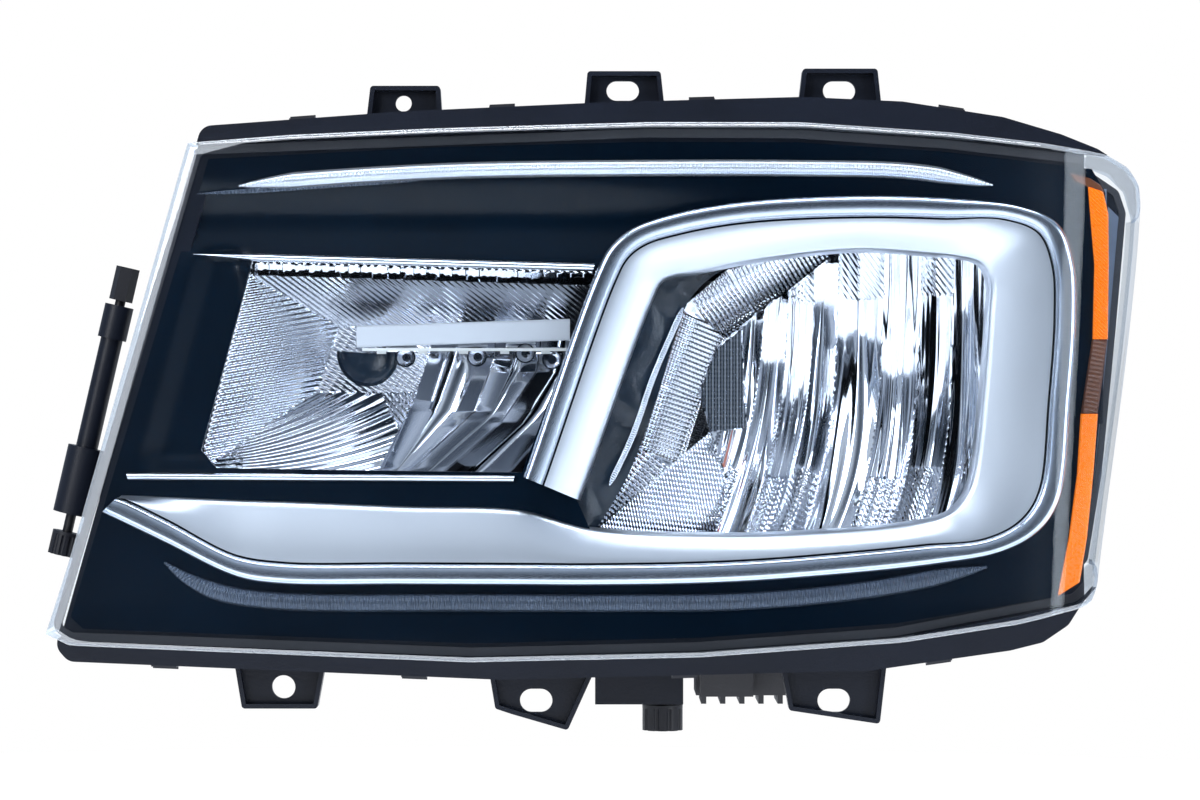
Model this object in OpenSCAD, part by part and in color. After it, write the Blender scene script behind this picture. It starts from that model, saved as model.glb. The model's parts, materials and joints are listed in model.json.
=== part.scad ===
// Heavy-vehicle LED headlamp: sealed housing with a clear lens, a chrome-framed bezel, and two
// reflector chambers on one carrier that tilts and turns on a gimbal.
// Frame: +X outboard, +Y towards the rear of the lamp, +Z up. The origin is the centre of the
// round locating hole in the inboard top ear, on the rear face of the ears.

/* [Mounting ears] */
// Thickness of each ear
ear_t = 4; // [3:0.5:5]
// Radius of the round locating hole (upper inboard ear)
locating_r = 4.5; // [4:0.1:5]
// Half width of the two upper slots
upper_slot_r = 5.5; // [5:0.1:6]
// Radius of the lower inboard hole and half width of the lower slots
lower_slot_r = 6.5; // [6:0.1:7]
// End-to-end length of every slot
slot_len = 18; // [16:0.5:20]
// Distance between the two upper slots
upper_pitch = 120; // [118:0.5:122]
// Distance between the two lower slots
lower_pitch = 165; // [163:0.5:167]

/* [Housing] */
// Wall thickness of the housing
wall = 3.5; // [3:0.1:4]
// Rear face of the housing
rear_y = 125; // [122:1:130]
// Radius of the high-beam access opening
high_access_r = 46; // [42:1:48]
// Radius of the low-beam access opening
low_access_r = 54; // [50:1:56]

/* [Lens and trim] */
// Thickness of the clear lens
lens_t = 3; // [2.5:0.1:3.2]
// Front face of the black bezel
bezel_y = -16; // [-17:0.5:-15]
// Thickness of the bezel
bezel_t = 3; // [2.5:0.5:3]
// Width of the polished lip around the satin frame
lip_w = 11.5; // [9:0.5:13]

/* [Aiming] */
// Radius of the gimbal pins
pin_r = 3; // [2.5:0.1:3.5]
// Radial running clearance of the pins and rods
fit_gap = 0.05; // [0.03:0.01:0.08]
// Radius of the ball on each aiming rod
ball_r = 5; // [4.5:0.1:5.5]
// Radial clearance of each ball in its socket
ball_gap = 0.35; // [0.3:0.05:0.45]
// Radius of each aiming rod
rod_r = 4; // [3.5:0.1:4.5]

/* [Hidden] */
$fn = 48;

// Outlines, as [x, z] seen from the front.
LENS_EDGE = [[-115, -24], [136, -14.5], [218, -15], [299, -20.5], [391, -31], [409, -43],
    [413, -56], [407, -126], [399, -208], [391, -256], [372, -276], [272, -295], [163, -303],
    [38, -306], [-184, -297.5], [-194, -291]];
FLANGE_EDGE = [[-110, -14], [0, -6], [110, -1], [220, 2], [275, -0.5], [330, -9], [362, -18.5],
    [382, -26.5], [390, -31.6], [407.5, -43.5], [412, -57], [406, -126], [398, -208], [390, -257],
    [374, -275.5], [366, -288], [352, -297.5], [334, -302], [257, -313], [54, -318], [-183, -308],
    [-190, -300]];
FRAME_EDGE = [[-164, -226], [-156, -218], [70, -227], [104, -237], [170, -240], [219, -239],
    [293, -231.5], [312, -220.5], [319, -186], [325, -106], [322, -90], [293, -83], [250, -80.5],
    [174, -92], [142, -95], [96, -219], [67, -207], [114, -80], [136, -67], [185, -56],
    [250, -52.5], [303, -54], [347, -59], [363, -69], [369, -88], [370, -119], [367, -163],
    [361, -222], [347, -240], [314, -252], [271, -257], [191, -264], [120, -266], [-68, -265],
    [-90, -262]];
FRAME_SILHOUETTE = [[-172, -216], [67, -216], [67, -207], [114, -80], [136, -67], [185, -56],
    [250, -52.5], [303, -54], [347, -59], [363, -69], [369, -88], [370, -119], [367, -163],
    [361, -222], [347, -240], [314, -252], [271, -257], [191, -264], [120, -266], [-68, -265],
    [-90, -262]];
HIGH_EDGE = [[-82, -88], [106, -91.5], [65, -204], [-103, -201.5], [-111, -192]];
LOW_EDGE = [[104, -237], [170, -240], [219, -239], [293, -231.5], [312, -220.5], [319, -186],
    [325, -106], [322, -90], [293, -83], [250, -80.5], [174, -92], [142, -95], [96, -219]];
// Front of the lens in plan, as [x, y].
LENS_PLAN = [[-200, -40], [-120, -46], [0, -54], [120, -60], [240, -61], [320, -56], [370, -46],
    [395, -30], [406, -12], [412, 12], [414, 40], [414, 61]];

corner_r = 8;
lens_leg_y = -14;
seat_y = -13;
flange_front_y = -24;
flange_back_y = -10;
wrap_x = 376;
wrap_back_y = 61;
body_inset = 8;
taper_y = 50;
pivot = [130, 80, -212];
yaw_rod_x = -134;
level_rod_z = -284;
high_access = [-20, -140];
low_access = [225, -160];
collar_w = 4;
collar_y = rear_y + 12;
ear_slots_z = 7;
upper_slot_x = 121.5;
lower_slot_z = -331;
lower_slot_x = 73.5;
lower_hole = [-66.5, -323.5];
reflector_y = 6;
carrier_y = 60;
carrier_t = 6;
socket_r = 9;
driver_z = -314;
driver_x = 158;
driver_w = 66;
shaft_lean = 13;
shaft_foot = [-208, 128, -252];
shaft_len = 170;
gear_at = 41;
gearbox_half = 20;
bezel_screw_at = [[60, -28], [290, -29.5], [-100, -291], [150, -294]];

// Extrudes an [x, z] outline from y0 back to y1.
module slab(y0, y1) {
    translate([0, y1, 0]) rotate([90, 0, 0]) linear_extrude(y1 - y0) children();
}

// The lens and flange outlines with rounded corners, grown or shrunk by grow.
module lens_outline(grow) {
    offset(delta = grow) offset(r = corner_r) offset(delta = -corner_r) polygon(LENS_EDGE);
}

module flange_outline(grow) {
    offset(delta = grow) offset(r = corner_r) offset(delta = -corner_r) polygon(FLANGE_EDGE);
}

// A round bar along Y through [x, z].
module bar_y(at, r, y0, y1) {
    translate([at[0], y0, at[1]]) rotate([-90, 0, 0]) cylinder(r = r, h = y1 - y0);
}

// A slot along X, centred on [x, z], with round ends of radius r.
module slot_y(at, r, len, y0, y1) {
    reach = len / 2 - r;
    for (side = [-1, 1]) bar_y([at[0] + side * reach, at[1]], r, y0, y1);
    translate([at[0] - reach, y0, at[1] - r]) cube([2 * reach, y1 - y0, 2 * r]);
}

// A strip of the given half height that follows a line of [x, z] points and tapers at its tips.
module strip(path, half_h) {
    last = len(path) - 1;
    tip = 0.25;
    upper = [for (i = [0 : last]) path[i] + [0, half_h * (i == 0 || i == last ? tip : 1)]];
    lower = [for (i = [last : -1 : 0]) path[i] - [0, half_h * (i == 0 || i == last ? tip : 1)]];
    polygon(concat(upper, lower));
}

// A screw with a round head behind y and a cross-shaped recess, its shank pointing along -Y.
module screw_y(at, y, shank) {
    difference() {
        union() {
            bar_y(at, 4, y, y + 3);
            bar_y(at, 2, y - shank, y);
        }
        for (size = [[4, 1], [1, 4]])
            translate([at[0] - size[0] / 2, y + 1.5, at[1] - size[1] / 2])
                cube([size[0], 2, size[1]]);
    }
}

module housing() {
    color([0.06, 0.07, 0.1])
    difference() {
        union() {
            slab(flange_front_y, seat_y) difference() {
                flange_outline(0);
                lens_outline(0.6);
            }
            slab(seat_y, flange_back_y) flange_outline(0);
            bowl(0, flange_back_y);
            slab(wrap_back_y + 1, wrap_back_y + 6) intersection() {
                flange_outline(-2);
                translate([wrap_x, -400]) square([100, 400]);
            }
            housing_ears();
            access_collar(high_access, high_access_r);
            access_collar(low_access, low_access_r);
            rear_ribs();
            // pad that the driver module hangs from
            translate([driver_x - 2, 60, driver_z]) cube([driver_w + 4, 64, 14]);
        }
        slab(seat_y - 1, flange_back_y + 1) intersection() {
            flange_outline(-body_inset - wall);
            lens_outline(-12);
        }
        bowl(wall, flange_back_y);
        // window that the wrapped side of the lens covers
        slab(-40, wrap_back_y + 0.5) intersection() {
            lens_outline(0.6);
            translate([wrap_x, -400]) square([100, 450]);
        }
        ear_holes();
        for (at = bezel_screw_at) bar_y(at, 2.1, seat_y - 1, flange_back_y + 1);
        bar_y(high_access, high_access_r, 100, collar_y + 1);
        bar_y(low_access, low_access_r, 100, collar_y + 1);
        bar_y([yaw_rod_x, pivot[2]], rod_r + fit_gap, 100, rear_y + 1);
        bar_y([pivot[0], level_rod_z], rod_r + fit_gap, 100, rear_y + 1);
    }
    color([0.06, 0.07, 0.1]) gimbal_bracket();
}

// Rear bowl that tapers at its top, bottom and outboard side. inset is 0 for the outside and
// the wall thickness for the inside.
module bowl(inset, y_front) {
    back = rear_y - inset;
    intersection() {
        slab(y_front, back) flange_outline(-body_inset - inset);
        translate([0, 0, -400]) linear_extrude(450)
            polygon([[-260, -60], [430, -60], [406 - inset, taper_y], [370 - inset, back + 1],
                [-260, back + 1]]);
        translate([-260, 0, 0]) rotate([90, 0, 90]) linear_extrude(700)
            polygon([[-60, 20], [taper_y, -4 - inset], [back + 1, -26 - inset],
                [back + 1, -298 + inset], [taper_y, -312 + inset], [-60, -330]]);
    }
}

module access_collar(at, r) {
    bar_y(at, r + collar_w, rear_y - wall, collar_y);
    for (turn = [0, 120, 240])
        translate([at[0], 0, at[1]]) rotate([0, turn + 20, 0])
            translate([r + collar_w - 0.5, rear_y + 3, -6]) cube([1.5, 2.5, 12]);
}

module rear_ribs() {
    for (x = [60, 100, 300, 328])
        translate([x, rear_y - 1, -250]) cube([2.5, 5, 190]);
    for (z = [-62, -240])
        translate([-90, rear_y - 1, z]) cube([430, 5, 2.5]);
}

// One ear outline, with a raised rim on its front face.
module ear(outline) {
    slab(-ear_t, 0) offset(r = 2) offset(delta = -2) polygon(outline);
    slab(flange_back_y, -ear_t) difference() {
        offset(r = 2) offset(delta = -2) polygon(outline);
        offset(delta = -2.5) polygon(outline);
    }
}

module housing_ears() {
    upper_root = -16;
    lower_root = -305;
    ear([[-21, upper_root], [-18, 9.3], [20.4, 9.3], [22, upper_root]]);
    ear([[99, upper_root], [102, 17.4], [142.4, 17.4], [146, upper_root]]);
    ear([[217, upper_root], [221, 18.8], [262.3, 18.8], [266, upper_root]]);
    ear([[-94, lower_root], [-89, -335], [-47.4, -335], [-42, lower_root]]);
    ear([[46, lower_root], [51, -335], [60, -338], [91, -347], [110, lower_root]]);
    ear([[208, lower_root], [213.5, -336], [263.6, -343.5], [268, lower_root]]);
}

module ear_holes() {
    front = -ear_t - 1;
    bar_y([0, 0], locating_r, front, 1);
    for (i = [0, 1]) {
        slot_y([upper_slot_x + i * upper_pitch, ear_slots_z], upper_slot_r, slot_len, front, 1);
        slot_y([lower_slot_x + i * lower_pitch, lower_slot_z], lower_slot_r, slot_len, front, 1);
    }
    bar_y(lower_hole, lower_slot_r, front, 1);
}

// Fork on the rear wall that holds the gimbal pin.
module gimbal_bracket() {
    for (side = [-1, 1])
        difference() {
            translate([pivot[0] - 9, pivot[1] - 9, pivot[2] + side * 15 - 3])
                cube([18, rear_y - wall - pivot[1] + 9, 6]);
            translate([pivot[0], pivot[1], pivot[2] + side * 15 - 4])
                cylinder(r = pin_r, h = 8);
        }
}

module lens_seal() {
    color([0.12, 0.12, 0.13])
    difference() {
        slab(lens_leg_y, seat_y) difference() {
            lens_outline(-0.3);
            lens_outline(-5);
        }
        translate([wrap_x, -40, -400]) cube([60, 200, 400]);
    }
    color([0.12, 0.12, 0.13])
    slab(wrap_back_y, wrap_back_y + 1) intersection() {
        difference() {
            flange_outline(-2.3);
            flange_outline(-6);
        }
        translate([wrap_x + 4, -400]) square([100, 400]);
    }
}

// Solid bounded by the lens's front surface moved in by inset, from the front back to y_back.
module lens_volume(inset, y_back) {
    plan = [for (p = LENS_PLAN) p + [-inset * (p[1] > -30 ? 1 : 0.2), p[1] < 0 ? inset : 0]];
    intersection() {
        slab(-90, y_back) lens_outline(-inset);
        translate([0, 0, -400]) linear_extrude(450)
            polygon(concat(plan, [[plan[len(plan) - 1][0], 99], [-240, 99], [-240, -37 + inset]]));
    }
}

module outer_lens() {
    color([0.8, 0.87, 0.95, 0.3])
    difference() {
        lens_volume(0, wrap_back_y);
        lens_volume(lens_t, wrap_back_y + 1);
        translate([-260, lens_leg_y, -400]) cube([wrap_x + 260, 120, 450]);
    }
}

// Spring clips on the flange, each given by the flange edge's segment and its place along it.
module lens_clips() {
    clips = [[0, 0.5], [1, 0.5], [2, 0.5], [4, 0.5], [17, 0.5], [18, 0.5], [19, 0.2], [19, 0.78]];
    play = 0.02;
    color([0.7, 0.72, 0.75])
    for (clip = clips) {
        from = FLANGE_EDGE[clip[0]];
        edge = FLANGE_EDGE[clip[0] + 1] - from;
        at = from + edge * clip[1];
        translate([at[0], 0, at[1]]) rotate([0, -atan2(edge[1], edge[0]), 0]) {
            translate([-7, -21, play]) cube([14, 9, 1]);
            translate([-7, -12, play]) cube([14, 1, 2.5]);
        }
    }
}

module bezel() {
    right_limit = [[-260, 60], [389, 60], [389, -131], [381, -210], [366, -400], [-260, -400]];
    rear = bezel_y + bezel_t;
    color([0.03, 0.035, 0.05]) {
        slab(bezel_y, rear) difference() {
            intersection() {
                lens_outline(-7);
                polygon(right_limit);
            }
            polygon(HIGH_EDGE);
            polygon(LOW_EDGE);
        }
        for (edge = [HIGH_EDGE, LOW_EDGE])
            slab(rear, rear + 5) difference() {
                offset(delta = 2) polygon(edge);
                polygon(edge);
            }
    }
}

module satin_frame() {
    color([0.72, 0.74, 0.78])
    slab(bezel_y - 10, bezel_y) intersection() {
        polygon(FRAME_EDGE);
        offset(delta = -lip_w - 1) polygon(FRAME_SILHOUETTE);
    }
}

module polished_surround() {
    color([0.6, 0.63, 0.68])
    slab(bezel_y - 14, bezel_y) difference() {
        polygon(FRAME_EDGE);
        offset(delta = -lip_w) polygon(FRAME_SILHOUETTE);
    }
}

module upper_light_guide() {
    path = [[-90, -46.5], [-55, -43], [26, -38], [120, -36.5], [219, -36.5], [282, -38.5], [325, -46]];
    color([0.75, 0.82, 0.92]) slab(bezel_y - 8, bezel_y) strip(path, 4.5);
}

module lower_light_guide() {
    path = [[-130, -254], [-99, -275], [40, -276], [190, -275.5], [257, -268.5], [322, -256.5]];
    color([0.5, 0.56, 0.65]) slab(bezel_y - 8, bezel_y) difference() {
        strip(path, 5);
        offset(delta = 0.3) polygon(FRAME_EDGE);
    }
}

module upper_trim_strip() {
    color([0.75, 0.77, 0.8])
    slab(bezel_y - 3, bezel_y)
        polygon([[-116, -84], [-90, -82.6], [106, -89.4], [105, -93.6], [-84, -87.2]]);
}

module lower_trim_strip() {
    color([0.75, 0.77, 0.8])
    slab(bezel_y - 3, bezel_y) polygon([[-152, -204], [62, -205.6], [61, -210], [-146, -208.6]]);
}

module amber_reflector_upper() {
    color([1, 0.45, 0.05])
    slab(bezel_y - 5, bezel_y)
        polygon([[368, -40], [380, -44], [387, -54], [388.5, -131], [379.5, -131], [376.5, -54]]);
}

module amber_reflector_lower() {
    color([1, 0.45, 0.05])
    slab(bezel_y - 5, bezel_y)
        polygon([[373.5, -172], [383, -172], [378, -225], [373, -264], [361, -272], [369, -225]]);
}

module turn_signal_lens() {
    color([0.35, 0.16, 0.05])
    slab(bezel_y - 4, bezel_y) polygon([[378, -131.3], [388, -131.3], [384, -171.7], [373.5, -171.7]]);
}

module turn_signal_board() {
    color([0.1, 0.35, 0.2]) {
        slab(-11.6, -10) polygon([[371, -60], [383, -60], [382, -130], [372, -215], [362, -215],
            [371, -130]]);
        for (i = [0 : 2]) bar_y([376 - 3.5 * i, -66 - 70 * i], 2, bezel_y + bezel_t, -11.6);
    }
}

module light_guide_boards() {
    color([0.1, 0.35, 0.2])
    for (at = [[318, -44], [312, -260]]) {
        translate([at[0] - 12, -11.6, at[1] - 7]) cube([24, 1.6, 14]);
        bar_y(at, 2, bezel_y + bezel_t, -11.6);
    }
}

module side_inner_panel() {
    color([0.35, 0.42, 0.5, 0.6])
    slab(bezel_y + bezel_t, wrap_back_y - 3)
        polygon([[385.5, -48], [388.5, -48], [388.5, -130], [380.5, -210], [373.5, -257],
            [370.5, -257], [377.5, -210], [385.5, -130]]);
}

module side_lugs() {
    lugs = [[389, -74, 9, 24], [388.2, -178, 7, 34], [376.2, -260, 3.2, 14]];
    color([0.1, 0.12, 0.15])
    for (lug = lugs)
        translate([lug[0], 50, lug[1]]) cube([lug[2], wrap_back_y + 0.5 - 50, lug[3]]);
}

module bezel_screws() {
    color([0.55, 0.56, 0.58])
    for (at = bezel_screw_at)
        screw_y(at, flange_back_y, flange_back_y - seat_y);
}

module connector_socket() {
    at = [20, -262];
    y0 = rear_y;
    color([0.08, 0.08, 0.09])
    difference() {
        union() {
            translate([at[0] - 24, y0, at[1] - 15]) cube([48, 3, 30]);
            translate([at[0] - 19, y0 + 3, at[1] - 11]) cube([38, 22, 22]);
            translate([at[0] - 5, y0 + 8, at[1] + 11]) cube([10, 12, 3]);
        }
        translate([at[0] - 17, y0 + 6, at[1] - 9]) cube([34, 20, 18]);
    }
    color([0.8, 0.75, 0.55])
    for (i = [0 : 3], row = [-1, 1])
        bar_y([at[0] - 12 + 8 * i, at[1] + 4 * row], 1, y0 + 6, y0 + 14);
}

module driver_module() {
    color([0.62, 0.64, 0.67]) {
        translate([driver_x, 62, driver_z - 4]) cube([driver_w, 60, 4]);
        translate([driver_x + 6, 68, driver_z - 20]) cube([driver_w - 12, 48, 16]);
        for (i = [0 : 4])
            translate([driver_x + 9 + 11 * i, 70, driver_z - 25]) cube([3, 44, 5]);
    }
    color([0.08, 0.08, 0.09]) translate([driver_x + 8, 46, driver_z - 19]) cube([30, 22, 14]);
}

module driver_screws() {
    color([0.5, 0.5, 0.52])
    for (x = [driver_x + 3, driver_x + driver_w - 3], y = [66, 118])
        translate([x, y, driver_z - 6.5]) cylinder(r = 2.6, h = 2.5);
}

module leveling_motor() {
    at = [pivot[0], level_rod_z];
    color([0.1, 0.1, 0.11])
    difference() {
        union() {
            translate([at[0] - 27, rear_y, at[1] - 6]) cube([54, 5, 34]);
            bar_y([at[0], at[1] + 12], 19, rear_y + 5, rear_y + 34);
            translate([at[0] - 11, rear_y + 5, at[1] + 12]) cube([22, 24, 32]);
        }
        bar_y(at, rod_r + fit_gap, rear_y - 1, rear_y + 28);
        translate([at[0] - 8, rear_y + 8, at[1] + 30]) cube([16, 18, 15]);
    }
}

module motor_screws() {
    color([0.6, 0.6, 0.62])
    for (side = [-1, 1])
        translate([pivot[0] + side * 23, rear_y + 5, level_rod_z + 20]) rotate([-90, 0, 0])
            cylinder(r = 3.4, h = 3);
}

module breather_caps() {
    color([0.15, 0.15, 0.16])
    for (at = [[130, -84], [312, -256]]) {
        bar_y(at, 7, rear_y, rear_y + 7);
        difference() {
            bar_y(at, 11, rear_y + 4, rear_y + 14);
            bar_y(at, 8, rear_y + 3, rear_y + 5.5);
        }
    }
}

module cover_gaskets() {
    color([0.2, 0.2, 0.21])
    for (cover = [[high_access, high_access_r], [low_access, low_access_r]])
        difference() {
            bar_y(cover[0], cover[1] + collar_w - 0.5, collar_y, collar_y + 1.5);
            bar_y(cover[0], cover[1] + 0.8, collar_y - 1, collar_y + 2);
        }
}

module gimbal_pin() {
    color([0.75, 0.76, 0.78])
    translate([pivot[0], pivot[1], pivot[2] - 20]) cylinder(r = pin_r, h = 40);
}

// Places its children on the aiming shaft, which leans with the slanted inboard side.
module along_shaft() {
    translate(shaft_foot) rotate([0, shaft_lean, 0]) children();
}

module aim_gearbox() {
    color([0.09, 0.09, 0.1])
    difference() {
        union() {
            translate([yaw_rod_x - 16, rear_y, pivot[2] - 16]) cube([32, 16, 32]);
            translate([yaw_rod_x - 64, rear_y, pivot[2] - 10]) cube([50, 12, 20]);
            along_shaft() translate([0, 0, gear_at - gearbox_half])
                cylinder(r = 11, h = 2 * gearbox_half);
        }
        bar_y([yaw_rod_x, pivot[2]], rod_r + fit_gap, rear_y - 1, rear_y + 15);
        along_shaft() translate([0, 0, -1]) cylinder(r = pin_r + fit_gap, h = shaft_len);
        along_shaft() translate([0, 0, gear_at - 6]) cylinder(r = 8.4, h = 12);
    }
}

module aim_guide_tube() {
    color([0.09, 0.09, 0.1])
    difference() {
        union() {
            along_shaft() translate([0, 0, gear_at + gearbox_half]) cylinder(r = 6.5, h = 80);
            along_shaft() translate([0, 0, gear_at + gearbox_half + 66]) cylinder(r = 8.5, h = 20);
        }
        along_shaft() translate([0, 0, -1]) cylinder(r = pin_r + fit_gap, h = shaft_len);
    }
}

module aim_shaft() {
    color([0.5, 0.5, 0.52]) {
        along_shaft() cylinder(r = pin_r, h = shaft_len - 10);
        along_shaft() translate([0, 0, gear_at - 5.6]) cylinder(r = 8, h = 11.2);
    }
    color([0.07, 0.07, 0.08]) {
        along_shaft() translate([0, 0, -4]) knurled_knob(8.5, 14, 12);
        along_shaft() translate([0, 0, shaft_len - 20]) cylinder(r = 7, h = 20, $fn = 6);
    }
}

// Knob with its axis along Z, with shallow finger grooves round its rim.
module knurled_knob(r, h, grooves) {
    difference() {
        cylinder(r = r, h = h);
        for (i = [0 : grooves - 1])
            rotate([0, 0, 360 * i / grooves]) translate([r + 0.6, 0, -1])
                cylinder(r = 1.6, h = h - 1, $fn = 16);
    }
}

module adjuster_gearbox() {
    at = [pivot[0], level_rod_z];
    color([0.09, 0.09, 0.1])
    difference() {
        union() {
            translate([at[0] - 24, rear_y, -344]) cube([52, 6, 52]);
            translate([at[0] + 4, rear_y + 6, -344]) cube([24, 16, 22]);
            bar_y([at[0] - 8, -334], 9, rear_y + 6, rear_y + 18);
        }
        translate([at[0] + 16, rear_y + 13, -345]) cylinder(r = pin_r + fit_gap, h = 20);
    }
}

module adjuster_knob() {
    color([0.07, 0.07, 0.08])
    translate([pivot[0] + 16, rear_y + 13, -360]) {
        knurled_knob(12, 15, 10);
        translate([0, 0, 15]) cylinder(r = pin_r, h = 18);
    }
}

module gimbal_block() {
    color([0.8, 0.8, 0.78])
    difference() {
        union() {
            translate(pivot - [8, 8, 11]) cube([16, 16, 22]);
            translate(pivot - [18, 0, 0]) rotate([0, 90, 0]) cylinder(r = pin_r, h = 36);
        }
        translate(pivot - [0, 0, 12]) cylinder(r = pin_r + fit_gap, h = 24);
    }
}

// Frame behind both reflectors, with the gimbal ears and the two socket arms.
module carrier_frame() {
    color([0.13, 0.13, 0.14])
    difference() {
        union() {
            slab(carrier_y, carrier_y + carrier_t) difference() {
                polygon([[-108, -82], [330, -78], [330, -246], [150, -262], [150, -296],
                    [110, -296], [110, -262], [-148, -226], [-148, -198]]);
                offset(r = 6) offset(delta = -6)
                    polygon([[-84, -96], [76, -96], [60, -192], [-100, -192]]);
                offset(r = 6) offset(delta = -6)
                    polygon([[160, -92], [316, -92], [312, -232], [160, -232]]);
            }
            for (side = [-1, 1])
                translate([pivot[0] + side * 13.5 - 2.5, carrier_y + carrier_t, pivot[2] - 8])
                    cube([5, pivot[1] - carrier_y - carrier_t + 8, 16]);
            for (at = [[yaw_rod_x, pivot[2]], [pivot[0], level_rod_z]])
                bar_y(at, socket_r, carrier_y + carrier_t, pivot[1] - 10);
        }
        translate([pivot[0] - 20, pivot[1], pivot[2]]) rotate([0, 90, 0])
            cylinder(r = pin_r + fit_gap, h = 40);
    }
}

// Points of a parabola from the top rim through the deepest place to the bottom rim, as [y, z].
function trough_line(z_top, z_bottom, depth, trim) =
    let (mid = (z_top + z_bottom) / 2, half = (z_top - z_bottom) / 2 - trim, steps = 12)
    [for (i = [-steps : steps]) let (t = i / steps)
        [reflector_y + (depth - trim) * (1 - t * t) - (trim > 0 ? 0.01 : 0), mid + t * half]];

function reversed(list) = [for (i = [len(list) - 1 : -1 : 0]) list[i]];

// Parabolic trough shell between x0 and x1.
module trough(x0, x1, z_top, z_bottom, depth, thick) {
    translate([x0, 0, 0]) rotate([90, 0, 90]) linear_extrude(x1 - x0)
        polygon(concat(trough_line(z_top, z_bottom, depth, 0),
            reversed(trough_line(z_top, z_bottom, depth, thick))));
}

// Side cheek of a trough: its filled section within the front outline cheek, given as [x, z].
module trough_cheek(x0, x1, z_top, z_bottom, depth, cheek) {
    intersection() {
        translate([x0, 0, 0]) rotate([90, 0, 90]) linear_extrude(x1 - x0)
            polygon(trough_line(z_top, z_bottom, depth, 0));
        slab(reflector_y - 1, carrier_y + 1) polygon(cheek);
    }
}

module high_beam_reflector() {
    depth = carrier_y - reflector_y;
    color([0.78, 0.8, 0.84]) {
        intersection() {
            trough(-122, 110, -84, -210, depth, 3);
            slab(0, 70) polygon([[-94, -80], [120, -80], [120, -214], [-121, -214]]);
        }
        trough_cheek(-122, -60, -84, -210, depth, [[-94, -80], [-90.5, -80], [-117.5, -214], [-121, -214]]);
        trough_cheek(107, 110, -84, -210, depth, [[106, -80], [111, -80], [111, -214], [106, -214]]);
    }
}

module low_beam_reflector() {
    depth = carrier_y - reflector_y;
    color([0.78, 0.8, 0.84]) {
        trough(113.5, 330, -76, -244, depth, 3);
        for (x = [113.5, 327])
            trough_cheek(x, x + 3, -76, -244, depth, [[x, -70], [x + 3, -70], [x + 3, -250], [x, -250]]);
    }
}

module high_beam_light_bar() {
    color([0.86, 0.87, 0.88])
    slab(reflector_y + 4, reflector_y + 18)
        polygon([[-27, -123], [94, -119], [94, -131], [-27, -135]]);
    color([0.86, 0.87, 0.88])
    for (x = [0, 66])
        translate([x, reflector_y + 18, -131]) cube([8, carrier_y - reflector_y - 31, 6]);
}

module high_beam_led_board() {
    color([0.85, 0.86, 0.84]) {
        translate([-24, reflector_y + 6, -137]) cube([114, 12, 1.6]);
        for (i = [0 : 4]) translate([-16 + 23 * i, reflector_y + 9, -138.6]) cube([5, 5, 1.6]);
    }
}

module low_beam_led_board() {
    color([0.1, 0.35, 0.2]) translate([200, carrier_y + carrier_t - 1.6, -190]) cube([40, 1.6, 60]);
}

module heat_sink(x0, x1, z0, z1, fins) {
    y0 = carrier_y + carrier_t;
    translate([x0, y0, z0]) cube([x1 - x0, 4, z1 - z0]);
    step = (x1 - x0 - 2) / (fins - 1);
    for (i = [0 : fins - 1])
        translate([x0 + step * i, y0 + 4, z0]) cube([2, 26, z1 - z0]);
}

module high_beam_heat_sink() {
    color([0.7, 0.71, 0.73]) heat_sink(-92, 66, -188, -100, 16);
}

module low_beam_heat_sink() {
    color([0.7, 0.71, 0.73]) heat_sink(166, 308, -228, -96, 14);
}

module rod_sockets() {
    color([0.92, 0.92, 0.88])
    for (at = [[yaw_rod_x, pivot[2]], [pivot[0], level_rod_z]])
        translate([at[0], pivot[1], at[1]]) rotate([-90, 0, 0])
            rotate_extrude() difference() {
                translate([0, -10]) square([socket_r, 14]);
                circle(r = ball_r + ball_gap);
                square([ball_r - 1, 5]);
            }
}

module carrier_screws() {
    color([0.6, 0.6, 0.62])
    for (at = [[-100, -120], [-120, -205], [90, -240], [322, -88], [322, -236]])
        bar_y(at, 4, carrier_y + carrier_t, carrier_y + carrier_t + 3);
}

module rod(at, tail_y) {
    translate([at[0], pivot[1], at[1]]) sphere(r = ball_r);
    bar_y(at, 2.6, pivot[1] + 3, pivot[1] + 12);
    bar_y(at, rod_r, pivot[1] + 12, tail_y);
}

module leveling_rod() {
    color([0.85, 0.85, 0.8]) rod([pivot[0], level_rod_z], rear_y + 20);
}

module yaw_rod() {
    color([0.85, 0.85, 0.8]) rod([yaw_rod_x, pivot[2]], rear_y + 6);
}

module twist_cover(at, r) {
    skirt_in = r + collar_w + 1.5;
    face = collar_y + 2;
    difference() {
        bar_y(at, skirt_in + 2.5, rear_y + 6.5, face + 3);
        bar_y(at, skirt_in, rear_y + 5, face);
    }
    translate([at[0] - r * 0.7, face + 3, at[1] - 4]) cube([r * 1.4, 11, 8]);
    for (i = [0 : 23])
        translate([at[0], 0, at[1]]) rotate([0, 15 * i, 0])
            translate([skirt_in + 2.2, rear_y + 8, -1.5]) cube([1.5, 9, 3]);
}

module high_beam_cover() {
    color([0.1, 0.1, 0.11]) twist_cover(high_access, high_access_r);
}

module low_beam_cover() {
    color([0.1, 0.1, 0.11]) twist_cover(low_access, low_access_r);
}

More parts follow.
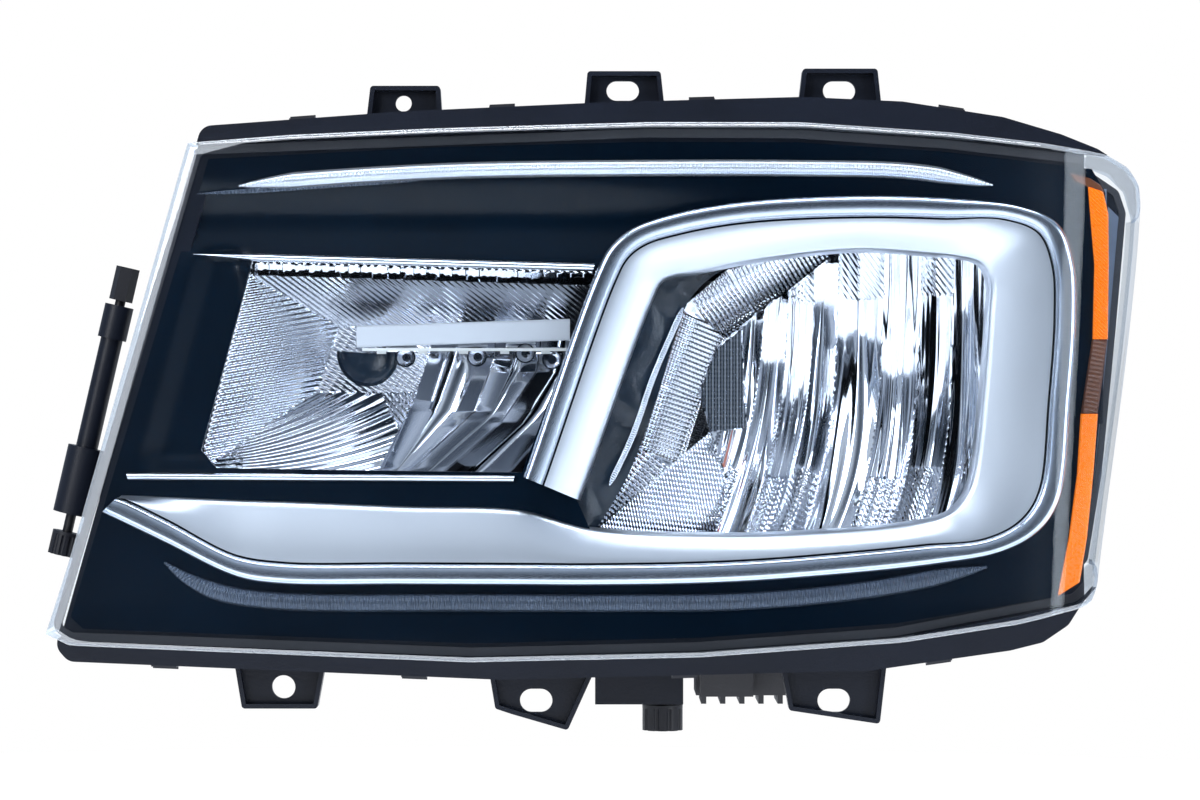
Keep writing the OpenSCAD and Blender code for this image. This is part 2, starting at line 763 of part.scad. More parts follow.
housing();
lens_seal();
outer_lens();
lens_clips();
bezel();
satin_frame();
polished_surround();
upper_light_guide();
lower_light_guide();
upper_trim_strip();
lower_trim_strip();
amber_reflector_upper();
amber_reflector_lower();
turn_signal_lens();
turn_signal_board();
light_guide_boards();
side_inner_panel();
side_lugs();
bezel_screws();
connector_socket();
driver_module();
driver_screws();
leveling_motor();
motor_screws();
breather_caps();
cover_gaskets();
gimbal_pin();
aim_gearbox();
aim_guide_tube();
adjuster_gearbox();
gimbal_block();
carrier_frame();
high_beam_reflector();
low_beam_reflector();
high_beam_light_bar();
high_beam_led_board();
low_beam_led_board();
high_beam_heat_sink();
low_beam_heat_sink();
rod_sockets();
carrier_screws();
leveling_rod();
yaw_rod();
aim_shaft();
adjuster_knob();
high_beam_cover();
low_beam_cover();
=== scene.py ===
import json
import math

import bmesh
import bpy
import numpy as np
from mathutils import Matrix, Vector


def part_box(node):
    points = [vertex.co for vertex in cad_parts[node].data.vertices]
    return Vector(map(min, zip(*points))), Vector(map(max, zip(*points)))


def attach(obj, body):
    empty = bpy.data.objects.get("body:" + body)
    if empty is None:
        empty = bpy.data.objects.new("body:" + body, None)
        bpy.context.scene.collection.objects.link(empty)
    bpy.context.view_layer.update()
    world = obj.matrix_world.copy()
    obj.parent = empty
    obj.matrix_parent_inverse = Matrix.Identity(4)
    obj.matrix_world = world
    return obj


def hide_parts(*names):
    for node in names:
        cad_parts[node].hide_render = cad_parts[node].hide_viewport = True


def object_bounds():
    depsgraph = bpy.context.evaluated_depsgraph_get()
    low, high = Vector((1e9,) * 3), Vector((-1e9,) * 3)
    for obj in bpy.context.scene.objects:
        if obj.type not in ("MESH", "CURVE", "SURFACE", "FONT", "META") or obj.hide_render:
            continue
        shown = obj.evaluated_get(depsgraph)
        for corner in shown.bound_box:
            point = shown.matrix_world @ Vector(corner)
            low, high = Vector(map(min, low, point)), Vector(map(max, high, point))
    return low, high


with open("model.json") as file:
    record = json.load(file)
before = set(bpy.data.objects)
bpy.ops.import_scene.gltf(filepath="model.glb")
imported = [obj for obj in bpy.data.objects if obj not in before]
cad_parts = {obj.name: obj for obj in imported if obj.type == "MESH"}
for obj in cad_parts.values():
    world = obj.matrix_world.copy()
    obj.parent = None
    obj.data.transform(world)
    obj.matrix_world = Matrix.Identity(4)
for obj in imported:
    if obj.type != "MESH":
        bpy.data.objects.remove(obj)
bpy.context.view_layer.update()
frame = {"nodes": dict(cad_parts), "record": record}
NODES = frame["nodes"]
MM = 0.001

# Depths, in millimetres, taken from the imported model.
BEZEL_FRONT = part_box("bezel")[0][1] / MM
LENS_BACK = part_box("outer_lens")[1][1] / MM
LENS_LEG_BACK = -14.0
REFLECTOR_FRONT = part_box("high_beam_reflector")[0][1] / MM
REFLECTOR_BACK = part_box("high_beam_reflector")[1][1] / MM


# ---------------------------------------------------------------- curves and meshes

def spline(points, per, closed=False):
    """Centripetal Catmull-Rom curve through the points, with per samples on each span."""
    pts = [np.array(p, float) for p in points]
    count = len(pts)
    spans = count if closed else count - 1
    out = []
    for i in range(spans):
        if closed:
            p0, p1, p2, p3 = (pts[(i + k) % count] for k in (-1, 0, 1, 2))
        else:
            p1, p2 = pts[i], pts[i + 1]
            p0 = pts[i - 1] if i else 2 * p1 - p2
            p3 = pts[i + 2] if i + 2 < count else 2 * p2 - p1
        t0 = 0.0
        t1 = t0 + max(np.linalg.norm(p1 - p0), 1e-6) ** 0.5
        t2 = t1 + max(np.linalg.norm(p2 - p1), 1e-6) ** 0.5
        t3 = t2 + max(np.linalg.norm(p3 - p2), 1e-6) ** 0.5
        for k in range(per):
            t = t1 + (t2 - t1) * k / per
            a1 = (t1 - t) / (t1 - t0) * p0 + (t - t0) / (t1 - t0) * p1
            a2 = (t2 - t) / (t2 - t1) * p1 + (t - t1) / (t2 - t1) * p2
            a3 = (t3 - t) / (t3 - t2) * p2 + (t - t2) / (t3 - t2) * p3
            b1 = (t2 - t) / (t2 - t0) * a1 + (t - t0) / (t2 - t0) * a2
            b2 = (t3 - t) / (t3 - t1) * a2 + (t - t1) / (t3 - t1) * a3
            out.append((t2 - t) / (t2 - t1) * b1 + (t - t1) / (t2 - t1) * b2)
    if not closed:
        out.append(pts[-1])
    return np.array(out)


def resample(path, count):
    """Open path as count points at equal steps along its length."""
    path = np.asarray(path, float)
    steps = np.r_[0, np.cumsum(np.linalg.norm(np.diff(path, axis=0), axis=1))]
    at = np.linspace(0, steps[-1], count)
    return np.stack([np.interp(at, steps, path[:, k]) for k in range(path.shape[1])], 1)


def along(table, x):
    """Value at x on a line through (x, value) pairs."""
    return np.interp(x, [p[0] for p in table], [p[1] for p in table])


def build(name, verts, faces, material, body, slot, replaces=(), sharp=35):
    """A smooth-shaded piece from vertices in millimetres, creased where it turns by more than sharp."""
    mesh = bpy.data.meshes.new(name)
    mesh.from_pydata([tuple(float(c) * MM for c in v) for v in verts], [], [tuple(f) for f in faces])
    mesh.validate()
    bm = bmesh.new()
    bm.from_mesh(mesh)
    bmesh.ops.remove_doubles(bm, verts=bm.verts, dist=1e-6)
    bmesh.ops.recalc_face_normals(bm, faces=bm.faces)
    bm.to_mesh(mesh)
    bm.free()
    piece = bpy.data.objects.new(name, mesh)
    bpy.context.scene.collection.objects.link(piece)
    mesh.materials.append(material)
    mesh.shade_smooth()
    mesh.set_sharp_from_angle(angle=math.radians(sharp))
    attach(piece, body)
    if replaces:
        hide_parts(*replaces)
    return piece


def loft(rows, close_loop=False, caps=False):
    """Faces between rows of points that all have the same length."""
    rows = np.asarray(rows, float)
    n, m = rows.shape[:2]
    verts = rows.reshape(-1, 3)
    faces = []
    for i in range(n - 1):
        for j in range(m if close_loop else m - 1):
            a, b = i * m + j, i * m + (j + 1) % m
            c, d = (i + 1) * m + (j + 1) % m, (i + 1) * m + j
            faces.append((a, b, c, d))
    if caps:
        faces.append(tuple(range(m)))
        faces.append(tuple((n - 1) * m + j for j in reversed(range(m))))
    return verts, faces


def box_mesh(low, high, bevel=0.4):
    """Vertices and faces of a box with rounded edges."""
    bm = bmesh.new()
    bmesh.ops.create_cube(bm, size=1)
    size = [high[k] - low[k] for k in range(3)]
    for v in bm.verts:
        v.co = Vector([low[k] + (v.co[k] + 0.5) * size[k] for k in range(3)])
    bmesh.ops.bevel(bm, geom=bm.edges[:], offset=min(bevel, 0.45 * min(size)), segments=2,
                    affect="EDGES", profile=0.5)
    return take(bm)


def lathe_mesh(profile, at, turns=32, ring=False):
    """A shape turned about Y: profile is (radius, distance along the axis), at is the axis's start.
    A ring joins the profile's end to its start; anything else is capped at both ends."""
    verts, faces = [], []
    for r, d in profile:
        for k in range(turns):
            a = 2 * math.pi * k / turns
            verts.append((at[0] + r * math.cos(a), at[1] + d, at[2] + r * math.sin(a)))
    for i in range(len(profile) - 1):
        for k in range(turns):
            a, b = i * turns + k, i * turns + (k + 1) % turns
            faces.append((a, b, b + turns, a + turns))
    last = (len(profile) - 1) * turns
    if ring:
        faces += [(last + k, last + (k + 1) % turns, (k + 1) % turns, k) for k in range(turns)]
    else:
        faces.append(tuple(range(turns)))
        faces.append(tuple(last + k for k in reversed(range(turns))))
    return verts, faces


def take(bm):
    verts = [tuple(v.co) for v in bm.verts]
    bm.verts.index_update()
    faces = [[v.index for v in f.verts] for f in bm.faces]
    bm.free()
    return verts, faces


def join(*meshes):
    verts, faces = [], []
    for v, f in meshes:
        start = len(verts)
        verts.extend(tuple(p) for p in v)
        faces.extend([i + start for i in face] for face in f)
    return verts, faces


# ---------------------------------------------------------------- materials

def new_material(name):
    mat = bpy.data.materials.new(name)
    mat.use_nodes = True
    tree = mat.node_tree
    shader = tree.nodes["Principled BSDF"]
    return mat, tree, shader


def node(tree, kind, **values):
    made = tree.nodes.new(kind)
    for key, value in values.items():
        if key in made.inputs:
            made.inputs[key].default_value = value
        else:
            setattr(made, key, value)
    return made


def surface(name, colour, rough, metal=0.0, vary=0.15, grain=400.0, bump=0.05, rough_vary=0.08,
            coat=0.0, stretch=(1, 1, 1), dist=0.0002, **sockets):
    """General procedural finish: colour and roughness drift slowly, and a fine grain is in the bump."""
    mat, tree, shader = new_material(name)
    link = tree.links.new
    place = node(tree, "ShaderNodeTexCoord")
    scale = node(tree, "ShaderNodeMapping")
    scale.inputs["Scale"].default_value = stretch
    link(place.outputs["Object"], scale.inputs["Vector"])
    slow = node(tree, "ShaderNodeTexNoise", Scale=14.0, Detail=4.0)
    fine = node(tree, "ShaderNodeTexNoise", Scale=grain, Detail=5.0)
    for tex in (slow, fine):
        link(scale.outputs["Vector"], tex.inputs["Vector"])
    ramp = node(tree, "ShaderNodeValToRGB")
    dark = [max(0.0, c * (1 - vary)) for c in colour[:3]] + [1]
    light = [min(1.0, c * (1 + vary)) for c in colour[:3]] + [1]
    ramp.color_ramp.elements[0].color = dark
    ramp.color_ramp.elements[1].color = light
    ramp.color_ramp.elements[0].position = 0.3
    ramp.color_ramp.elements[1].position = 0.7
    link(slow.outputs["Fac"], ramp.inputs["Fac"])
    link(ramp.outputs["Color"], shader.inputs["Base Color"])
    spread = node(tree, "ShaderNodeMapRange")
    spread.inputs["To Min"].default_value = max(0.02, rough - rough_vary)
    spread.inputs["To Max"].default_value = min(1.0, rough + rough_vary)
    link(fine.outputs["Fac"], spread.inputs["Value"])
    link(spread.outputs["Result"], shader.inputs["Roughness"])
    relief = node(tree, "ShaderNodeBump", Strength=bump, Distance=dist)
    link(fine.outputs["Fac"], relief.inputs["Height"])
    link(relief.outputs["Normal"], shader.inputs["Normal"])
    shader.inputs["Metallic"].default_value = metal
    shader.inputs["Coat Weight"].default_value = coat
    shader.inputs["Coat Roughness"].default_value = 0.04
    for key, value in sockets.items():
        shader.inputs[key.replace("_", " ")].default_value = value
    return mat


def clear_lens_material(name, tint, painted_sheen, gloss, metal):
    """Clear moulding: light passes straight through, and the surface reflects as Fresnel says; painted_sheen
    adds a constant pale share on top, a painted sheen.
    """
    mat, tree, shader = new_material(name)
    link = tree.links.new
    place = node(tree, "ShaderNodeTexCoord")
    waves = node(tree, "ShaderNodeTexNoise", Scale=9.0, Detail=2.0)
    link(place.outputs["Object"], waves.inputs["Vector"])
    relief = node(tree, "ShaderNodeBump", Strength=0.02, Distance=0.0005)
    link(waves.outputs["Fac"], relief.inputs["Height"])
    clear = node(tree, "ShaderNodeBsdfTransparent")
    clear.inputs["Color"].default_value = tint
    shader.inputs["Base Color"].default_value = (0.88, 0.92, 0.97, 1)
    shader.inputs["Metallic"].default_value = metal
    shader.inputs["Roughness"].default_value = 0.03
    link(relief.outputs["Normal"], shader.inputs["Normal"])
    fresnel = node(tree, "ShaderNodeFresnel", IOR=1.5)
    amount = node(tree, "ShaderNodeMath", operation="MULTIPLY_ADD")
    amount.inputs[1].default_value = gloss
    amount.inputs[2].default_value = painted_sheen
    link(fresnel.outputs["Fac"], amount.inputs[0])
    mix = node(tree, "ShaderNodeMixShader")
    link(amount.outputs["Value"], mix.inputs["Fac"])
    link(clear.outputs["BSDF"], mix.inputs[1])
    link(shader.outputs["BSDF"], mix.inputs[2])
    link(mix.outputs["Shader"], tree.nodes["Material Output"].inputs["Surface"])
    return mat


def make_materials():
    m = {}
    m["black_plastic"] = surface("black_plastic", (0.004, 0.006, 0.012), 0.36, grain=900, bump=0.25,
                                 dist=0.0003, Specular_IOR_Level=0.22)
    m["shaft_plastic"] = surface("shaft_plastic", (0.005, 0.006, 0.01), 0.42, grain=700, bump=0.2,
                                 Specular_IOR_Level=0.25)
    m["cover_plastic"] = surface("cover_plastic", (0.016, 0.018, 0.024), 0.42, grain=800, bump=0.25)
    m["carrier_plastic"] = surface("carrier_plastic", (0.03, 0.032, 0.04), 0.5, grain=700, bump=0.2)
    m["black_gloss"] = surface("black_gloss", (0.0008, 0.005, 0.0115), 0.2, grain=300, bump=0.03,
                               rough_vary=0.05, Specular_IOR_Level=0.16)
    m["seal"] = surface("seal", (0.03, 0.03, 0.035), 0.7, grain=250, bump=0.4)
    m["rubber"] = surface("rubber", (0.025, 0.025, 0.03), 0.75, grain=500, bump=0.3)
    m["zinc_steel"] = surface("zinc_steel", (0.62, 0.63, 0.66), 0.32, 1.0, grain=600, bump=0.1)
    m["satin_chrome"] = surface("satin_chrome", (0.76, 0.79, 0.84), 0.36, 1.0, vary=0.03, grain=1500,
                                bump=0.06, rough_vary=0.03)
    m["dark_chrome"] = surface("dark_chrome", (0.56, 0.61, 0.69), 0.22, 1.0, vary=0.05, grain=1200,
                               bump=0.03, rough_vary=0.03)
    m["bright_chrome"] = surface("bright_chrome", (0.78, 0.81, 0.87), 0.1, 1.0, vary=0.02, grain=900,
                                 bump=0.02, rough_vary=0.02)
    m["reflector"] = surface("reflector", (0.8, 0.82, 0.87), 0.09, 1.0, vary=0.03, grain=500,
                             bump=0.04, rough_vary=0.03)
    m["light_guide"] = surface("light_guide", (0.68, 0.71, 0.76), 0.22, 0.8, vary=0.1, grain=300,
                               bump=0.05, coat=0.6)
    # Darker copy of the light-guide finish: painted shade for the lower guide and the upper guide's tail,
    # which are the same moulding as the lit upper guide.
    m["light_guide_painted_shade"] = surface("light_guide_painted_shade", (0.06, 0.08, 0.115), 0.22, 0.5, vary=0.15,
                                    grain=300, bump=0.05, coat=0.5)
    m["dark_steel"] = surface("dark_steel", (0.03, 0.032, 0.04), 0.4, 0.6, grain=600, bump=0.1)
    m["dark_casting"] = surface("dark_casting", (0.02, 0.021, 0.026), 0.5, 0.3, grain=900, bump=0.35)
    # Dark mottled finish: the wall beside the low-beam bowl, and painted shade on the reflector hollow under
    # the light bar's end.
    m["smoked_wall_and_painted_shade"] = surface("smoked_wall_and_painted_shade", (0.008, 0.016, 0.028), 0.2, vary=0.5, grain=45,
                               bump=0.5, dist=0.003, Specular_IOR_Level=0.35)
    # The emission of 0.3 in amber is a painted glow: the amber reflectors are no lamp.
    m["amber"] = surface("amber", (0.95, 0.2, 0.004), 0.28, vary=0.12, grain=900, bump=0.15,
                         coat=0.5, Emission_Color=(1.0, 0.22, 0.005, 1), Emission_Strength=0.3)
    m["amber_dark"] = surface("amber_dark", (0.11, 0.035, 0.012), 0.3, vary=0.3, grain=500, bump=0.08,
                              coat=0.4)
    # Pale blue-grey panel behind the lens's outboard side: painted light seen through the wrap.
    m["smoked_panel"] = surface("smoked_panel", (0.17, 0.21, 0.28), 0.35, vary=0.15, grain=400,
                                bump=0.05)
    m["pale_bar"] = surface("pale_bar", (0.62, 0.65, 0.7), 0.55, vary=0.05, grain=900, bump=0.12)
    m["white_plastic"] = surface("white_plastic", (0.75, 0.75, 0.7), 0.45, grain=600, bump=0.1)
    m["cast_aluminium"] = surface("cast_aluminium", (0.55, 0.56, 0.58), 0.5, 0.9, grain=900, bump=0.35)
    m["circuit_board"] = surface("circuit_board", (0.02, 0.14, 0.07), 0.35, grain=300, bump=0.1, coat=0.4)
    m["led_board"] = surface("led_board", (0.75, 0.76, 0.74), 0.35, grain=300, bump=0.1, coat=0.3)
    m["clear_lens"] = clear_lens_material("clear_lens", (0.95, 0.975, 1.0, 1), 0.0, 0.3, 1.0)
    # The leg and the rim carry a constant pale share (0.05 and 0.2): a painted sheen, the rim's bright band
    # standing in for reflections.
    m["lens_leg"] = clear_lens_material("lens_leg", (0.86, 0.91, 0.97, 1), 0.05, 0.4, 0.6)
    m["lens_edge"] = clear_lens_material("lens_edge", (0.82, 0.88, 0.95, 1), 0.2, 0.6, 0.2)
    return m


# ---------------------------------------------------------------- outer lens

LENS_TOP = [(-115, -25), (-60, -21), (20, -17.8), (136, -14.8), (218, -15), (299, -20.3),
            (350, -25.8), (385, -31), (399, -37), (408, -46), (412, -60), (413, -66)]
LENS_BOTTOM = [(-193, -292), (-180, -297.8), (38, -305.8), (163, -302.8), (272, -294.9),
               (335, -285.5), (362, -280), (385, -276.5), (393, -274), (398, -270), (404, -265),
               (409, -260.5), (412.5, -257.5)]
LENS_PLAN = [(-200, -40), (-120, -46), (0, -54), (120, -60), (240, -61), (320, -56.5),
             (362, -50), (383, -40.5), (396, -27), (405, -12), (411, 12), (412.5, 40), (412.5, LENS_BACK - 1)]
LENS_LEAN = 24.0


def lens_grid(cols=170, rows=64):
    """Points over the lens face, round its outboard corner and back along its side."""
    plan = resample(spline(LENS_PLAN, 12), 500)
    steps = np.r_[0, np.cumsum(np.linalg.norm(np.diff(plan, axis=0), axis=1))]
    grid = np.zeros((rows, cols, 3))
    for i in range(rows):
        v = i / (rows - 1)
        left_x = LENS_BOTTOM[0][0] + (LENS_TOP[0][0] - LENS_BOTTOM[0][0]) * v
        first = np.interp(left_x, plan[:, 0], steps)
        for j in range(cols):
            s = first + (steps[-1] - first) * j / (cols - 1)
            x, y = np.interp(s, steps, plan[:, 0]), np.interp(s, steps, plan[:, 1])
            side = min(max((x - 330) / 80, 0), 1) ** 2
            top, bottom = along(LENS_TOP, x), along(LENS_BOTTOM, x)
            z = bottom + (top - bottom) * v
            lean = LENS_LEAN * side * (1 - v) ** 1.25
            crown = 1.5 * (1 - (2 * v - 1) ** 2)
            grid[i, j] = (x - lean, y + 1.5 - crown, z)
    return grid


def make_lens(m):
    face = lens_grid()
    rows, cols = face.shape[:2]
    normal = np.cross(np.gradient(face, axis=1), np.gradient(face, axis=0))
    normal /= np.linalg.norm(normal, axis=2, keepdims=True)
    if normal[rows // 2, cols // 4, 1] < 0:
        normal = -normal
    inner = face + normal * 2.6
    v1, f1 = loft(face)
    v2, f2 = loft(inner)
    build("clear_lens_shell", *join((v1, f1), (v2, f2)), m["clear_lens"], "housing", "clear_lens",
          replaces=["outer_lens"])
    # rim: round the bottom, left and top edges, then back to the leg's end
    edge = [face[0, j] for j in range(cols - 1, -1, -1)] + [face[i, 0] for i in range(1, rows)] \
        + [face[rows - 1, j] for j in range(1, cols)]
    edge = np.array(edge)
    middle = np.array([110, 0, -160.0])
    at_left = np.arange(len(edge))
    at_left = np.clip(1.2 - np.abs(at_left - cols - rows / 2) / (rows / 2), 0, 0.2)[:, None] / 0.2
    leg = []
    for reach, depth in ((-2.2, -0.6), (-1.0, -0.2), (0.0, 0.9), (0.5, 2.6), (0.4, 5.0), (0.3, None)):
        ring = edge.copy()
        reach = reach * (1 + 1.9 * at_left * (reach < -2))
        tangent = np.gradient(edge, axis=0)
        out = np.stack([tangent[:, 2], np.zeros(len(edge)), -tangent[:, 0]], 1)
        out /= np.maximum(np.linalg.norm(out, axis=1, keepdims=True), 1e-6)
        flip = np.sign(np.sum(out * (edge - middle), axis=1, keepdims=True))
        ring += out * flip * reach
        if depth is None:
            back = np.where(ring[:, 0] > 378, LENS_BACK - 0.5, LENS_LEG_BACK)
            ring[:, 1] = np.maximum(back, ring[:, 1])
        else:
            ring[:, 1] = np.minimum(edge[:, 1] + depth, LENS_BACK - 0.5)
        leg.append(ring)
    # The rim's finish carries the larger painted sheen, a bright band in place of reflections on the rounded
    # edge.
    build("lens_rim", *loft(leg[:4]), m["lens_edge"], "housing", "clear_lens", sharp=60)
    build("lens_leg", *loft(leg[3:]), m["lens_leg"], "housing", "clear_lens", sharp=60)


# ---------------------------------------------------------------- frame and surround

# Matching stations on the outer and inner edges of the hook-shaped frame, from the tail's tip
# along the bottom, up the outboard side, over the top and down the inboard leg.
FRAME_STATIONS = [
    ((-164, -226), (-156, -218)), ((-130, -242.5), (-124, -219.5)), ((-90, -261.5), (-92, -221)),
    ((-66, -265.3), (-60, -222)), ((0, -265.7), (0, -224.5)), ((66, -266), (66, -226.8)),
    ((104, -266.2), (104, -237)), ((170, -265), (170, -240)), ((219, -262), (219, -239)),
    ((293, -254.6), (284, -233)), ((330, -247.5), (303, -227)), ((350, -236), (312, -216)),
    ((361, -218), (316, -203)), ((367, -163), (320.5, -164)), ((370, -119), (324, -119)),
    ((368.5, -88), (324.5, -98)), ((360, -67.5), (319.5, -88.5)), ((340, -58.2), (306, -84.6)),
    ((303, -54), (293, -83)), ((250, -52.5), (250, -80.5)), ((185, -56), (194, -86.5)),
    ((146, -63.2), (160, -93.2)), ((126, -70.5), (148, -95.2)), ((114.5, -80), (141.5, -98.5)),
    ((106, -96), (136, -109)), ((67, -206.5), (96, -219))]
LIP_WIDTH = 11.3


def frame_edges(per=14):
    outer = spline([s[0] for s in FRAME_STATIONS], per)
    inner = spline([s[1] for s in FRAME_STATIONS], per)
    return outer, inner


def make_surround(m):
    """Polished lip that runs round the outer edge of the frame."""
    outer, inner = frame_edges()
    across = inner - outer
    width = np.linalg.norm(across, axis=1, keepdims=True)
    across /= width
    profile = [(0.0, -16.3), (0.0, -26.5), (0.5, -28.2), (1.7, -29.3), (3.4, -29.7), (8.6, -28.9),
               (10.2, -28.3), (11.0, -27.2), (11.3, -25.0), (11.3, -18.0)]
    rows = []
    for d, y in profile:
        place = outer + across * np.minimum(d, width * 0.96 * d / LIP_WIDTH)
        rows.append(np.stack([place[:, 0], np.full(len(place), y), place[:, 1]], 1))
    verts, faces = loft(rows)
    build("polished_lip", verts, faces, m["dark_chrome"], "housing", "dark_chrome",
          replaces=["polished_surround"], sharp=50)


def make_frame(m):
    """Satin band inside the lip: it falls away towards the chamber and turns back at its edge."""
    outer, inner = frame_edges()
    across = inner - outer
    width = np.linalg.norm(across, axis=1, keepdims=True)
    across /= width
    start = np.minimum(LIP_WIDTH + 1.0, width * 0.97)
    rows = []
    count = 14
    for k in range(count):
        t = k / (count - 1)
        d = start + (width - start) * t
        y = -24.5 + 6.5 * t ** 1.6
        rows.append(np.insert(outer + across * d, 1, y, axis=1))
    first = rows[0].copy()
    first[:, 1] = -18
    rows.insert(0, first)
    for drop, inward in ((1.2, 0.9), (3.2, 1.6), (10.0, 2.2), (14.0, 2.4)):
        place = inner + across * inward
        rows.append(np.insert(place, 1, -18 + drop, axis=1))
    verts, faces = loft(rows)
    build("satin_band", verts, faces, m["satin_chrome"], "housing", "satin_chrome",
          replaces=["satin_frame"], sharp=55)
    # dark groove between lip and band
    groove = []
    for d, y in ((LIP_WIDTH - 0.6, -22.0), (LIP_WIDTH + 1.6, -22.0)):
        groove.append(np.insert(outer + across * np.minimum(d, width * 0.985), 1, y, axis=1))
    verts, faces = loft(groove)
    build("groove_floor", verts, faces, m["black_gloss"], "housing", "black_gloss")


# ---------------------------------------------------------------- light guides and trim strips

def ribbed_bar(path, half_height, depth, pitch, y_face, taper=30.0):
    """Half-round bar along a line of [x, z] points, with fine ribs across it."""
    line = spline(path, 30)
    length = np.sum(np.linalg.norm(np.diff(line, axis=0), axis=1))
    count = int(length / pitch) * 6
    line = resample(line, count)
    tangent = np.gradient(line, axis=0)
    tangent /= np.linalg.norm(tangent, axis=1, keepdims=True)
    across = np.stack([-tangent[:, 1], tangent[:, 0]], 1)
    at = np.linspace(0, length, count)
    fade = np.clip(np.minimum(at, length - at) / taper, 0.06, 1) ** 0.6
    rib = 0.5 * (1 - np.cos(2 * math.pi * at / pitch))
    rows = []
    for k in range(13):
        a = math.pi * k / 12
        up = math.cos(a) * half_height * fade
        bulge = math.sin(a) ** 0.7 * depth * (0.35 + 0.65 * fade) - 0.85 * rib * math.sin(a)
        place = line + across * up[:, None]
        rows.append(np.stack([place[:, 0], y_face - bulge, place[:, 1]], 1))
    return loft(rows)


UPPER_GUIDE = [(-90, -46.5), (-55, -43), (26, -38.2), (120, -36.7), (219, -36.7), (282, -38.6), (325, -46)]
LOWER_GUIDE = [(-131, -254), (-118, -263), (-100, -270.5), (-70, -275), (40, -276), (120, -276.3),
               (190, -275.2), (257, -268.8), (322, -256.5)]


def make_guides(m):
    face = BEZEL_FRONT + 0.2
    build("upper_guide_rod", *ribbed_bar(UPPER_GUIDE, 4.6, 6.0, 2.1, face), m["light_guide"],
          "housing", "light_guide", replaces=["upper_light_guide"], sharp=80)
    # The tail and the lower guide take the darker copy of the finish, painted shade on the same light-guide
    # moulding.
    tail = ribbed_bar([(-113, -50.8), (-75, -48.6), (-30, -45.4), (10, -43.4)], 1.5, 1.6, 1.9, face)
    build("upper_guide_tail", *tail, m["light_guide_painted_shade"], "housing", "light_guide", sharp=80)
    build("lower_guide_rod", *ribbed_bar(LOWER_GUIDE, 5.0, 5.0, 1.9, face), m["light_guide_painted_shade"],
          "housing", "light_guide", replaces=["lower_light_guide"], sharp=80)


def trim_bar(top, bottom, y_face, depth):
    """Thin bar between two lines of [x, z] points, with a crowned face."""
    upper, lower = resample(top, 60), resample(bottom, 60)
    rows = []
    for k in range(9):
        t = k / 8
        place = upper + (lower - upper) * t
        lift = depth * math.sin(math.pi * t) ** 0.5 if 0 < t < 1 else 0
        rows.append(np.insert(place, 1, y_face - lift, axis=1))
    return loft(rows)


def make_trim(m):
    face = BEZEL_FRONT + 0.1
    upper = trim_bar([(-116, -83.6), (-80, -83.8), (106, -89.2)], [(-114, -84.6), (-80, -88.0), (105, -93.6)],
                     face, 2.8)
    build("upper_strip_bar", *upper, m["bright_chrome"], "housing", "bright_chrome",
          replaces=["upper_trim_strip"])
    lower = trim_bar([(-152, -204.4), (62, -205.7)], [(-151, -208.6), (61, -209.8)], face, 2.8)
    build("lower_strip_bar", *lower, m["bright_chrome"], "housing", "bright_chrome",
          replaces=["lower_trim_strip"])


# ---------------------------------------------------------------- bezel

HIGH_OPENING = [(-83, -87.6), (107, -93), (66, -204.5), (-103, -202), (-111.5, -192)]
LOW_OPENING = [s[1] for s in FRAME_STATIONS[6:]]


def prism(outline, y0, y1, name):
    """Closed solid from an outline of [x, z] points between two depths, used as a cutter."""
    count = len(outline)
    verts = [(p[0], y0, p[1]) for p in outline] + [(p[0], y1, p[1]) for p in outline]
    faces = [tuple(range(count)), tuple(reversed(range(count, 2 * count)))]
    faces += [(i, (i + 1) % count, count + (i + 1) % count, count + i) for i in range(count)]
    mesh = bpy.data.meshes.new(name)
    mesh.from_pydata([tuple(float(c) * MM for c in v) for v in verts], [], faces)
    bm = bmesh.new()
    bm.from_mesh(mesh)
    bmesh.ops.recalc_face_normals(bm, faces=bm.faces)
    bm.to_mesh(mesh)
    bm.free()
    made = bpy.data.objects.new(name, mesh)
    bpy.context.scene.collection.objects.link(made)
    return made


def cut(piece, cutter, operation="DIFFERENCE"):
    """Boolean that is applied at once; the cutter is removed."""
    mod = piece.modifiers.new("cut", "BOOLEAN")
    mod.operation = operation
    mod.solver = "EXACT"
    mod.object = cutter
    graph = bpy.context.evaluated_depsgraph_get()
    mesh = bpy.data.meshes.new_from_object(piece.evaluated_get(graph))
    piece.modifiers.clear()
    old = piece.data
    piece.data = mesh
    bpy.data.meshes.remove(old)
    bpy.data.objects.remove(cutter)


def bezel_depth(x, z):
    """Depth of the bezel's face: a brow at the top, a sill at the bottom, a recess at the left."""
    brow = 9.0 * np.exp(-((z + 66) / 17) ** 2) * np.clip((250 - x) / 160, 0, 1)
    sill = 4.0 * np.clip((-278 - z) / 16, 0, 1)
    left = -110 - 0.277 * (-14 - z)
    side = np.clip((x - left - 14) / 14, 0, 1) * np.clip((-84 - x - 0.26 * (z + 88)) / 8, 0, 1)
    recess = 7.0 * side * np.clip((-80 - z) / 8, 0, 1) * np.clip((z + 205) / 10, 0, 1)
    return BEZEL_FRONT + 0.8 + 0.62 * np.minimum(brow + recess, 10.0) - 0.25 * sill


